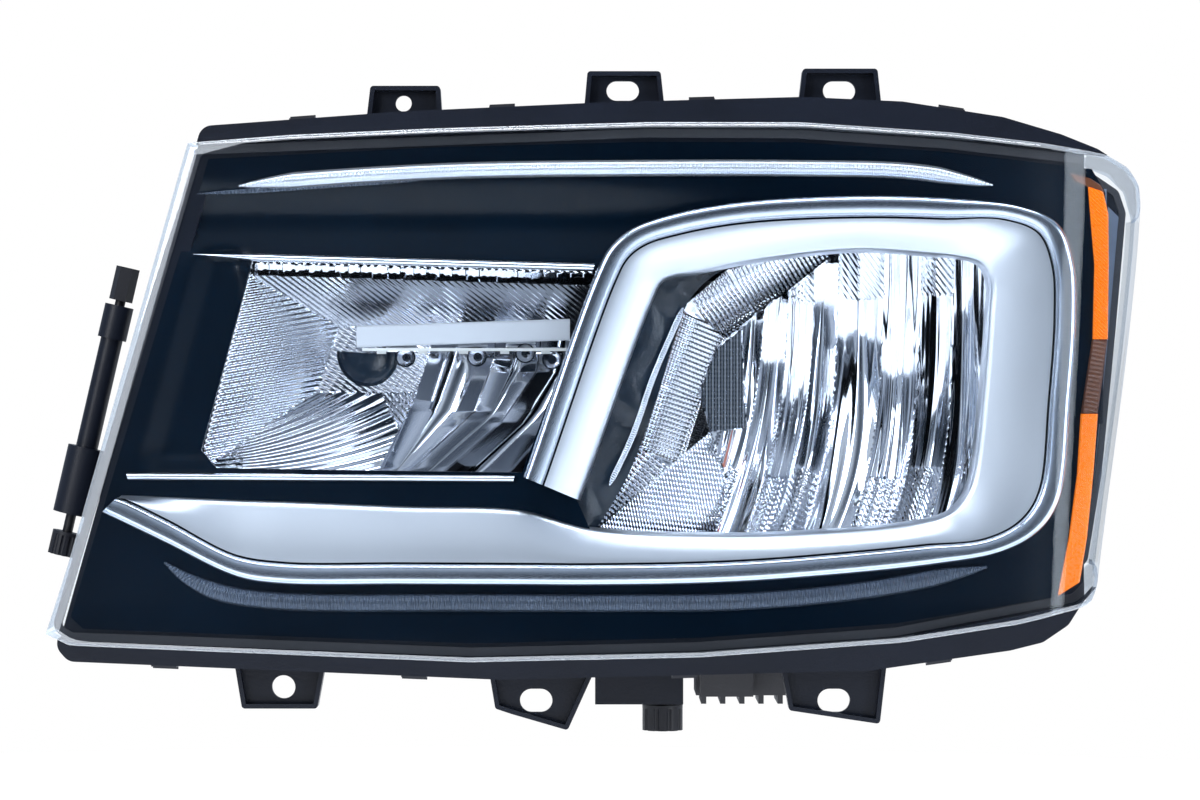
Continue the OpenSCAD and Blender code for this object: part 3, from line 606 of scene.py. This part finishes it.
def make_bezel(m):
    xs, zs = np.linspace(-200, 400, 201), np.linspace(-310, -10, 101)
    front, back = [], []
    for z in zs:
        y = bezel_depth(xs, z)
        front.append(np.stack([xs, y, np.full(len(xs), z)], 1))
        back.append(np.stack([xs, np.full(len(xs), -7.0), np.full(len(xs), z)], 1))
    n, c = len(zs), len(xs)
    v1, f1 = loft(front)
    v2, f2 = loft(back)
    verts = [tuple(p) for p in v1] + [tuple(p) for p in v2]
    off = n * c
    faces = [tuple(f) for f in f1] + [tuple(off + i for i in reversed(f)) for f in f2]
    ring = [j for j in range(c)] + [i * c + c - 1 for i in range(1, n)] \
        + [(n - 1) * c + j for j in range(c - 2, -1, -1)] + [i * c for i in range(n - 2, 0, -1)]
    faces += [(a, b, off + b, off + a) for a, b in zip(ring, ring[1:] + ring[:1])]
    piece = build("bezel_panel", verts, faces, m["black_gloss"], "housing", "black_gloss",
                  replaces=["bezel"], sharp=30)
    outline = [(-107, -31.5), (20, -25), (136, -22), (218, -22.3), (299, -27.5), (380, -37), (387.5, -50),
               (388.5, -130), (381, -210), (371, -262), (360, -273), (272, -287.5), (163, -295.5),
               (38, -298.5), (-176, -290.5), (-183, -284)]
    cut(piece, prism(outline, -60, 20, "outline_cut"), "INTERSECT")
    cut(piece, prism(HIGH_OPENING, -60, 20, "high_cut"))
    low = [tuple(p) for p in spline(LOW_OPENING, 6)]
    cut(piece, prism(low, -60, 20, "low_cut"))
    piece.data.shade_smooth()
    piece.data.set_sharp_from_angle(angle=math.radians(30))


# ---------------------------------------------------------------- amber strips and side panel

def prism_strip(left, right, y_face, rows, cols, pitch, height, slant):
    """Strip between two edge lines, covered in small slanted ridges."""
    a, b = resample(left, rows), resample(right, rows)
    points = []
    for i in range(rows):
        t = np.linspace(0, 1, cols)[:, None]
        line = a[i] + (b[i] - a[i]) * t
        wave = (line[:, 0] * slant + line[:, 1]) / pitch
        saw = np.abs((wave % 1) - 0.5) * 2
        edge = np.minimum(1, np.minimum(t[:, 0], 1 - t[:, 0]) * 12)
        y = y_face - 1.0 * edge - height * saw * edge
        points.append(np.insert(line, 1, y, axis=1))
    return loft(points)


def make_side(m):
    face = BEZEL_FRONT + 0.3
    upper = prism_strip([(377.5, -47), (378.5, -60), (381, -90), (380, -131)],
                        [(386, -50), (388.8, -62), (389, -90), (388.5, -131)], face - 2.5, 340, 30,
                        2.0, 1.4, 0.9)
    build("amber_prisms_upper", *upper, m["amber"], "housing", "amber",
          replaces=["amber_reflector_upper"], sharp=20)
    lower = prism_strip([(373.5, -172), (371.5, -205), (367, -240), (361, -272)],
                        [(383, -172), (380.5, -205), (377, -240), (373, -264.5)], face - 2.5, 380, 30,
                        1.3, 0.7, -1.4)
    build("amber_prisms_lower", *lower, m["amber"], "housing", "amber",
          replaces=["amber_reflector_lower"], sharp=20)
    cap = prism_strip([(367.5, -39.5), (370.5, -44), (376.8, -46.8)],
                      [(379, -42.5), (384.5, -46), (386.5, -50)], face - 2.2, 30, 14, 30, 0.0, 0)
    build("amber_cap", *cap, m["amber_dark"], "housing", "amber_dark", replaces=["turn_signal_lens"])
    # Pale panel just behind the lens's outboard side, painted light for the bright wrap.
    glow = [np.insert(resample(line, 40), 1, LENS_BACK + 0.2, axis=1)
            for line in ([(384, -48), (386, -130), (378, -210), (374, -262)],
                         [(396, -50), (394, -130), (386, -210), (380, -258)],
                         [(408, -62), (402, -126), (394, -208), (386, -252)])]
    build("side_backing", *loft(glow), m["smoked_panel"], "housing", "smoked_panel")
    dark = prism_strip([(379.8, -131.4), (377, -150), (373.8, -171.6)],
                       [(388.4, -131.4), (386, -150), (383, -171.6)], face - 1.5, 60, 20, 2.4, 0.5, 0.2)
    build("turn_lens_body", *dark, m["amber_dark"], "housing", "amber_dark")


# ---------------------------------------------------------------- reflectors

def height_grid(xs, zs, depth):
    """Rows of points whose depth comes from depth(x, z), both arrays."""
    gx, gz = np.meshgrid(xs, zs)
    return np.stack([gx, depth(gx, gz), gz], 2)


def plane_wall(p0, p1, gx, gz):
    """Distance of each place from the line p0-p1, positive to its left when walking p0 to p1."""
    dx, dz = p1[0] - p0[0], p1[1] - p0[1]
    size = math.hypot(dx, dz)
    return ((gx - p0[0]) * -dz + (gz - p0[1]) * dx) / size


def ribs(phase, height):
    """Rounded ribs: height at the crests, 0 in the valleys."""
    return 0.5 * height * (1 - np.cos(2 * math.pi * phase))


def line_place(line, gx, gz):
    """Length along a line of [x, z] points at its nearest place, and the distance to it."""
    best = np.full(gx.shape, 1e9)
    length = np.zeros(gx.shape)
    walked = 0.0
    for (ax, az), (bx, bz) in zip(line[:-1], line[1:]):
        dx, dz = bx - ax, bz - az
        size = math.hypot(dx, dz)
        t = np.clip(((gx - ax) * dx + (gz - az) * dz) / size ** 2, 0, 1)
        gap = np.hypot(gx - ax - t * dx, gz - az - t * dz)
        nearer = gap < best
        best = np.where(nearer, gap, best)
        length = np.where(nearer, walked + t * size, length)
        walked += size
    return length, best


def inside(outline, gx, gz):
    """True for each place inside the closed outline."""
    result = np.zeros(gx.shape, bool)
    for (ax, az), (bx, bz) in zip(outline, outline[1:] + outline[:1]):
        crosses = (az > gz) != (bz > gz)
        at = ax + (gz - az) * (bx - ax) / (bz - az if bz != az else 1e-9)
        result ^= crosses & (gx < at)
    return result


def cells(edges, gx):
    """Index of the cell that each place is in, and how far across it is; edges are x arrays."""
    index = np.full(gx.shape, -1)
    across = np.zeros(gx.shape)
    for k, (a, b) in enumerate(zip(edges[:-1], edges[1:])):
        here = (gx >= a) & (gx < b)
        index[here] = k
        across[here] = ((gx - a) / (b - a))[here]
    return index, across


# Ridges between the high-beam shells, as [x, z] from under the light bar to the floor.
HIGH_RIDGES = [
    [(13.4, -120), (13.4, -135), (3.6, -165), (-14, -203), (-20, -212)],
    [(50, -120), (49.6, -141), (38.3, -171), (3.6, -203), (-8, -212)],
    [(77, -120), (73, -148.6), (53.3, -177), (24.6, -202), (12, -212)],
    [(104, -120), (100, -140), (88, -170), (60, -203), (50, -212)],
    [(136, -120), (130, -140), (122, -170), (100, -203), (90, -212)]]


def high_depth(gx, gz):
    """High-beam chamber: ribbed side wall and roof, a fan of ribs, then smooth swept shells."""
    rim = REFLECTOR_FRONT
    left = -plane_wall((-113, -198), (-84, -85), gx, gz)
    roof = -plane_wall((-90, -88), (110, -94), gx, gz)
    floor = plane_wall((-114, -205), (70, -207), gx, gz)
    left_d = rim + 0.72 * np.maximum(left, -3)
    roof_d = rim + 1.42 * np.maximum(roof - 6.5, 0)
    floor_d = rim + 0.78 * np.maximum(floor, -3)
    ridges = [np.interp(gz, [p[1] for p in reversed(r)], [p[0] for p in reversed(r)]) for r in HIGH_RIDGES]
    cell, u = cells(ridges, gx)
    back = np.where(cell >= 0, 36 + 13 * (1 - (2 * u - 1) ** 2) + 4 * (u - 0.5), 44.0)
    back = back - 0.0014 * (gz + 120) ** 2
    shell = cell >= 0
    floor_d = np.where(shell, 90.0, floor_d)
    choices = np.stack([left_d, roof_d, floor_d, back])
    which = np.argmin(choices, axis=0)
    depth = np.min(choices, axis=0)
    left_ribs = ribs((gz - 0.2 * gx) / 2.9, 0.85)
    roof_ribs = ribs((gx * 0.72 + gz * 0.95) / 2.9, 0.85)
    swing = np.arctan2(gz + 199 - 0.0022 * (gx + 115) ** 2, gx + 150)
    fan = ribs(swing / 0.052, 1.0)
    flow = ribs((gx + 0.9 * gz + 0.004 * (gz + 160) ** 2) / 3.6, 1.3)
    fan = np.where(gx + 0.5 * gz > -95, flow, fan)
    smooth = np.where(shell, 0.0, ribs((gx + 1.3 * gz) / 4.5, 1.0))
    depth = depth - np.choose(which, [left_ribs, roof_ribs, np.where(shell, 0, fan), smooth])
    band = (roof > 0) & (roof < 6.5)
    facet = np.floor((gx + 90) / 7.3)
    tilt = np.sin(facet * 12.9) * 0.5
    mirror = rim + 0.6 * roof + tilt * (((gx + 90) / 7.3) % 1 - 0.5) * 4
    return np.clip(np.where(band & (left > 2), mirror, depth), rim - 0.4, REFLECTOR_BACK - 1.5)


def clip_grid(rows, keep):
    """Faces of the grid whose four corners are all kept."""
    rows = np.asarray(rows)
    m = rows.shape[1]
    mask = keep(rows[:, :, 0], rows[:, :, 2])
    used = mask[:-1, :-1] & mask[1:, :-1] & mask[:-1, 1:] & mask[1:, 1:]
    faces = [(i * m + j, i * m + j + 1, (i + 1) * m + j + 1, (i + 1) * m + j)
             for i, j in zip(*np.nonzero(used))]
    needed = sorted({v for f in faces for v in f})
    index = {v: k for k, v in enumerate(needed)}
    flat = rows.reshape(-1, 3)
    return flat[needed], [tuple(index[v] for v in f) for f in faces]


def make_high_reflector(m):
    xs, zs = np.arange(-120.5, 113, 0.58), np.arange(-209.5, -84.5, 0.52)
    grid = height_grid(xs, zs, high_depth)

    def between_ends(x, z):
        return (x > -93.5 - 0.213 * (-84 - z)) & (x < 112 + 0.38 * (z + 93) + 3)

    verts, faces = clip_grid(grid, between_ends)
    build("high_beam_bowl", verts, faces, m["reflector"], "carrier", "reflector",
          replaces=["high_beam_reflector"], sharp=40)


# Tall flutes of the low-beam bowl: x of each ridge at the top and at the foot.
FLUTE_TOP = [188, 202, 215, 230, 243, 269, 289, 308, 325, 342]
FLUTE_FOOT = [156, 172, 188, 202, 222, 247, 269, 290, 308, 325]
CRESCENT_OUTER = [(99, -247), (103, -240), (124, -205), (140.5, -160), (157.5, -110), (180, -91),
                  (217, -81), (246, -76)]
CRESCENT_INNER = [(104, -241), (171.3, -182.4), (164.7, -160), (174, -135.8), (189, -122.7), (243, -80)]
CRESCENT_MIDDLE = [(96, -250), (140, -196), (152, -160), (168, -120), (190, -105), (236, -78)]
WINDOW = [(164.7, -160), (174, -135.8), (189, -124), (192, -180), (171.3, -182.4)]
FOOT_FAN = [(171.3, -182.4), (180, -208), (172, -250), (96, -250), (103, -240)]


def low_depth(gx, gz):
    """Low-beam bowl: a ribbed crescent at the inboard side and tall curved flutes beside it."""
    v = np.clip((-80 - gz) / 163, 0, 1)
    edges = [t - (t - f) * v ** (2.3 + 0.25 * k) for k, (t, f) in enumerate(zip(FLUTE_TOP, FLUTE_FOOT))]
    bowl = 46 - 0.0016 * (gx - 250) ** 2 - 0.0022 * (gz + 165) ** 2
    cell, u = cells(edges, gx)
    arch = (1 - (2 * u - 1) ** 2)
    swell = 0.75 + 0.35 * np.sin(gz / 23.0 + cell * 1.7)
    streaks = 0.5 * np.sin(2 * math.pi * u * (1 + cell % 3) + gz / 41.0 + cell)
    streaks += 0.07 * np.sin(2 * math.pi * u * (5 + cell % 4) + gz / 60.0)
    lean = 6.0 * np.where(cell % 2 == 0, 1, -1) * (u - 0.5)
    depth = bowl - 8.0 + 9.5 * arch * swell + lean + streaks
    foot = (gz < -203 + 6 * np.sin(cell * 2.1)) & (cell % 3 != 1)
    depth = np.where(foot, depth - ribs((gx + 0.3 * gz) / 2.0, 0.6), depth)
    head = (gz > -112 + 8 * np.sin(cell * 3.3)) & (cell % 2 == 0)
    depth = np.where(head, depth - ribs((gx + 0.75 * gz) / 3.1, 0.7), depth)
    along_it, off = line_place(CRESCENT_MIDDLE, gx, gz)
    crescent = inside(CRESCENT_OUTER + CRESCENT_INNER[::-1], gx, gz)
    curved = 20 + 0.16 * np.maximum(gx - 100, 0) - 0.018 * off ** 2 - ribs(along_it / 2.6, 1.1)
    depth = np.where(crescent, curved, depth)
    window = inside(WINDOW, gx, gz)
    lines = 0.06 * np.sin(gz / 0.8) + 0.12 * np.sin(gx / 0.55)
    depth = np.where(window, 37 + lines, depth)
    fan = inside(FOOT_FAN, gx, gz)
    depth = np.where(fan, 24 + 0.1 * (gx - 100) - ribs((gx + 0.2 * gz) / 1.7, 0.6), depth)
    return np.clip(depth, REFLECTOR_FRONT + 0.5, REFLECTOR_BACK - 1.5)


def make_low_reflector(m):
    xs, zs = np.arange(99.0, 329.5, 0.58), np.arange(-246.5, -76.5, 0.62)
    grid = height_grid(xs, zs, low_depth)
    outer = sorted((p[1], p[0]) for p in CRESCENT_OUTER)

    def outboard_of_crescent(x, z):
        return x > along(outer, z)

    verts, faces = clip_grid(grid, outboard_of_crescent)
    build("low_beam_bowl", verts, faces, m["reflector"], "carrier", "reflector",
          replaces=["low_beam_reflector"], sharp=38)


def make_low_wall(m):
    """Dark wall between the frame's leg and the low-beam bowl, with a thin ribbed strip on it."""
    leg = spline([(175, -90), (150, -95), (141.5, -98.5), (136, -109), (96, -219), (100, -238)], 16)
    bowl = spline([(217, -80), (181, -90), (158.5, -109), (141.5, -160), (125, -205), (104, -241)], 16)
    leg, bowl = resample(leg, 160), resample(bowl, 160)
    rows = []
    for k in range(15):
        t = k / 14
        place = leg + (bowl - leg) * t
        swirl = 0.8 * np.sin(place[:, 0] / 4.3 + 1.7 * np.sin(place[:, 1] / 9.0)) * math.sin(math.pi * t)
        rows.append(np.insert(place, 1, -9.0 + 6.5 * t + swirl, axis=1))
    build("low_side_wall", *loft(rows), m["smoked_wall_and_painted_shade"], "housing", "black_gloss")
    strip = ribbed_bar([(155, -113), (139, -150), (127, -184), (114, -212)], 1.7, 1.2, 1.3, -5.5, 6.0)
    build("low_side_strip", *strip, m["bright_chrome"], "housing", "bright_chrome", sharp=60)


def make_light_bar(m):
    low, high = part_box("high_beam_light_bar")
    x0, x1 = low[0] / MM, high[0] / MM
    rows = []
    for x in np.linspace(x0, x1 - 2, 80):
        rise = 4 * (x - x0) / (x1 - x0)
        top, bottom = -123 + rise, -135 + rise
        section = [(11.0, top), (10.2, top - 0.8), (10.0, top - 3), (10.4, bottom + 3), (10.8, bottom + 0.8),
                   (11.6, bottom), (22.0, bottom + 1), (23.5, bottom + 3), (23.5, top - 2), (22, top)]
        rows.append([(x, y, z) for y, z in section])
    verts, faces = loft(rows, close_loop=True, caps=True)
    build("light_bar_cover", verts, faces, m["pale_bar"], "carrier", "pale_bar",
          replaces=["high_beam_light_bar"], sharp=30)
    cup_profile = [(1.2, 12), (2.6, 11), (4.6, 6), (5.6, 0.6), (5.6, 0), (4.8, 0), (3.4, 4), (1.0, 9)]
    cups = []
    for x, drop in ((0, 0), (40, 1), (67, 0), (82, 4)):
        z = -141.5 - drop + 0.035 * (x - x0)
        cups.append(lathe_mesh(cup_profile, (x, 17.0, z), 24))
        cups.append(box_mesh((x - 11, 19, z + 3), (x + 6, 24, z + 7), 0.6))
    build("collimator_cups", *join(*cups), m["reflector"], "carrier", "reflector", sharp=35)
    # Hollow under the bar's left end, part of the reflector: it takes the dark finish instead of chrome,
    # painted shade for the cavity.
    rows = []
    for k in range(14):
        t = k / 13
        turn = np.linspace(math.pi * 0.98, math.pi * 2.02, 40)
        r = 17.5 * math.cos(t * math.pi / 2 * 0.98)
        rows.append(np.stack([-21.5 + r * np.cos(turn), np.full(40, 24 + 14 * math.sin(t * math.pi / 2)),
                              -138 + 1.08 * r * np.sin(turn)], 1))
    build("bar_end_hollow", *loft(rows), m["smoked_wall_and_painted_shade"], "carrier", "reflector", sharp=60)


# ---------------------------------------------------------------- rear of the housing

REAR_WALL = 125.0
RIB_HEIGHT = 3.2
RIB_HALF = 0.9
# Round places, as (x, z, radius), and blocks, as (x0, x1, z0, z1), that the rear ribs stop short of.
RIB_GAPS = [(-20, -140, 58), (225, -160, 66), (142, -86, 16), (305, -248, 16)]
RIB_BLOCKS = [(96, 166, -300, -208), (-14, 56, -300, -236), (-175, -88, -300, -170)]


def rib_runs(at, start, end, upright):
    """Stretches of one rib that keep clear of the gaps; the rib lies at one x or one z."""
    runs, first = [], None
    for place in np.arange(start, end, 1.5):
        x, z = (at, place) if upright else (place, at)
        clear = all(math.hypot(x - gx, z - gz) > r for gx, gz, r in RIB_GAPS)
        clear = clear and not any(a < x < b and c < z < d for a, b, c, d in RIB_BLOCKS)
        if clear and first is None:
            first = place
        if not clear and first is not None:
            runs.append((first, place))
            first = None
    if first is not None:
        runs.append((first, end))
    return [r for r in runs if r[1] - r[0] > 6]


def make_rear(m):
    """Moulded stiffening ribs and round bosses on the back of the housing."""
    solids = []
    back = REAR_WALL + RIB_HEIGHT
    for x in range(-78, 356, 24):
        for a, b in rib_runs(x, -284, -44, True):
            solids.append(box_mesh((x - RIB_HALF, REAR_WALL - 0.5, a), (x + RIB_HALF, back, b), 0.3))
    for z in range(-280, -40, 29):
        for a, b in rib_runs(z, -84, 350, False):
            solids.append(box_mesh((a, REAR_WALL - 0.5, z - RIB_HALF), (b, back - 0.4, z + RIB_HALF), 0.3))
    boss = [(0.5, 0), (2.4, 0), (2.4, 4), (3.0, 4.6), (5.4, 4.6), (6.0, 4.0), (6.4, -0.5)]
    for x, z in ((-78, -48), (90, -44), (350, -48), (350, -280), (66, -284), (182, -284)):
        solids.append(lathe_mesh(boss, (x, REAR_WALL, z), 28))
    build("rear_ribs", *join(*solids), m["black_plastic"], "housing", "black_plastic", sharp=35)


HANDLE_HEIGHT = 11.0
GRIP_COUNT = 24


def make_cover_grips(m):
    """Raised rings on the faces of the two twist covers, inside and outside the handle's ends."""
    for name, (x, z), r in (("high_beam_cover", (-20, -140), 44), ("low_beam_cover", (225, -160), 52)):
        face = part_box(name)[1][1] / MM - HANDLE_HEIGHT
        solids = [lathe_mesh([(r - 2.2, -0.6), (r - 1.8, 1.0), (r, 1.5), (r + 1.8, 1.0), (r + 2.2, -0.6)],
                             (x, face, z), 72, ring=True)]
        for k in range(GRIP_COUNT):
            a = 2 * math.pi * (k + 0.5) / GRIP_COUNT
            c, d = math.cos(a), math.sin(a)
            if abs(d) < 0.3:
                continue
            verts, faces = box_mesh((r - 13, -0.5, -0.8), (r - 3, 1.2, 0.8), 0.3)
            turned = [(x + vx * c - vz * d, face + vy, z + vx * d + vz * c) for vx, vy, vz in verts]
            solids.append((turned, faces))
        build(name + "_grips", *join(*solids), m["cover_plastic"], name, "cover_plastic", sharp=40)


# ---------------------------------------------------------------- scene

# These are blackened on the real lamp.
DARKER = {"lens_clips": "dark_steel", "driver_module": "dark_casting"}


def paint_nodes(m):
    """Every CAD node that still shows takes the finish that the record's slot names."""
    for part in frame["record"]["subparts"]:
        name, slot = part["node"], part["material_slot"]
        obj = NODES[name]
        finish = m[DARKER.get(name, slot)]
        if not obj.data.materials:
            obj.data.materials.append(finish)
        for s in obj.material_slots:
            s.material = finish


def soften(names, width=0.5):
    """Rounds the sharp edges of CAD nodes a little, without touching their mesh."""
    for name in names:
        mod = NODES[name].modifiers.new("edge", "BEVEL")
        mod.width = width * MM
        mod.segments = 2
        mod.limit_method = "ANGLE"
        mod.angle_limit = math.radians(50)
        mod.use_clamp_overlap = True


def make_studio():
    scene = bpy.context.scene
    scene.view_settings.view_transform = "Standard"
    world = bpy.data.worlds.new("studio")
    scene.world = world
    world.use_nodes = True
    tree = world.node_tree
    tree.nodes.clear()
    link = tree.links.new
    out = tree.nodes.new("ShaderNodeOutputWorld")
    plain = node(tree, "ShaderNodeBackground", Color=(1, 1, 1, 1), Strength=1.0)
    soft = node(tree, "ShaderNodeBackground", Strength=0.85)
    place = tree.nodes.new("ShaderNodeTexCoord")
    front = node(tree, "ShaderNodeVectorMath", operation="DOT_PRODUCT")
    front.inputs[1].default_value = (0, -1, 0)
    link(place.outputs["Generated"], front.inputs[0])
    ramp = node(tree, "ShaderNodeValToRGB")
    ramp.color_ramp.interpolation = "EASE"
    stops = ramp.color_ramp.elements
    stops[0].position, stops[0].color = 0.0, (0.4, 0.46, 0.56, 1)
    stops[1].position, stops[1].color = 1.0, (0.004, 0.008, 0.014, 1)
    for position, colour in ((0.35, (0.25, 0.3, 0.38, 1)), (0.66, (0.16, 0.2, 0.27, 1)),
                             (0.87, (0.78, 0.82, 0.88, 1)), (0.973, (0.14, 0.16, 0.19, 1))):
        stops.new(position).color = colour
    link(front.outputs["Value"], ramp.inputs["Fac"])
    link(ramp.outputs["Color"], soft.inputs["Color"])
    rays = tree.nodes.new("ShaderNodeLightPath")
    mix = tree.nodes.new("ShaderNodeMixShader")
    link(rays.outputs["Is Camera Ray"], mix.inputs["Fac"])
    link(soft.outputs["Background"], mix.inputs[1])
    link(plain.outputs["Background"], mix.inputs[2])
    link(mix.outputs["Shader"], out.inputs["Surface"])


def area_light(name, place, target, size, power, colour=(1, 1, 1)):
    light = bpy.data.lights.new(name, "AREA")
    light.shape = "RECTANGLE"
    light.size, light.size_y = size
    light.energy = power
    light.color = colour
    obj = bpy.data.objects.new(name, light)
    obj.location = place
    aim = Vector(target) - Vector(place)
    obj.rotation_euler = aim.to_track_quat("-Z", "Y").to_euler()
    bpy.context.scene.collection.objects.link(obj)


def make_lights(middle):
    x, y, z = middle
    area_light("key_left", (x - 1.3, y - 1.5, z + 0.9), middle, (0.9, 1.1), 38)
    area_light("top_strip", (x + 0.1, y - 0.6, z + 1.5), middle, (1.6, 0.5), 30)
    area_light("fill_right", (x + 1.6, y - 1.3, z + 0.1), middle, (0.5, 1.4), 22, (0.9, 0.95, 1.0))
    area_light("back_rim", (x - 0.4, y + 1.1, z + 1.9), middle, (1.6, 0.9), 34)


# How far below the lamp's lowest point the floor lies, in metres.
FLOOR_DROP = 0.16


def make_floor(level):
    """A round floor, kept small so that it doesn't mirror in the black parts."""
    mesh = bpy.data.meshes.new("floor")
    radius = 1.7
    corners = 96
    ring = [2 * math.pi * k / corners for k in range(corners)]
    mesh.from_pydata([(radius * math.cos(a), radius * math.sin(a), level) for a in ring], [],
                     [tuple(range(corners))])
    floor = bpy.data.objects.new("floor", mesh)
    bpy.context.scene.collection.objects.link(floor)
    mat, _, shader = new_material("floor")
    shader.inputs["Base Color"].default_value = (0.9, 0.91, 0.92, 1)
    shader.inputs["Roughness"].default_value = 0.7
    shader.inputs["Emission Color"].default_value = (1, 1, 1, 1)
    shader.inputs["Emission Strength"].default_value = 0.8
    mesh.materials.append(mat)


# The camera stands 2 m in front of a plane 20 mm ahead of the ears, and sees 660 mm of that plane.
VIEW_CENTRE = (108.9 * MM, -164.4 * MM)
VIEW_DISTANCE = 2.0
VIEW_WIDTH = 0.66


def make_camera():
    data = bpy.data.cameras.new("camera")
    data.sensor_width = 36
    data.lens = 36 * VIEW_DISTANCE / VIEW_WIDTH
    data.clip_end = 50
    camera = bpy.data.objects.new("camera", data)
    camera.location = (VIEW_CENTRE[0], -0.02 - VIEW_DISTANCE, VIEW_CENTRE[1])
    camera.rotation_euler = (math.radians(90), 0, 0)
    bpy.context.scene.collection.objects.link(camera)
    bpy.context.scene.camera = camera


def main():
    make_camera()
    finishes = make_materials()
    paint_nodes(finishes)
    make_lens(finishes)
    make_surround(finishes)
    make_frame(finishes)
    make_guides(finishes)
    make_trim(finishes)
    make_bezel(finishes)
    make_side(finishes)
    make_high_reflector(finishes)
    make_low_reflector(finishes)
    make_low_wall(finishes)
    make_light_bar(finishes)
    make_rear(finishes)
    make_cover_grips(finishes)
    make_studio()
    low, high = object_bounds()
    middle = [(low[k] + high[k]) / 2 for k in range(3)]
    make_lights(middle)
    make_floor(low[2] - FLOOR_DROP)
    soften(["leveling_motor", "adjuster_knob", "adjuster_gearbox", "aim_gearbox", "aim_guide_tube",
            "connector_socket", "driver_module", "high_beam_cover", "low_beam_cover", "breather_caps"])


main()
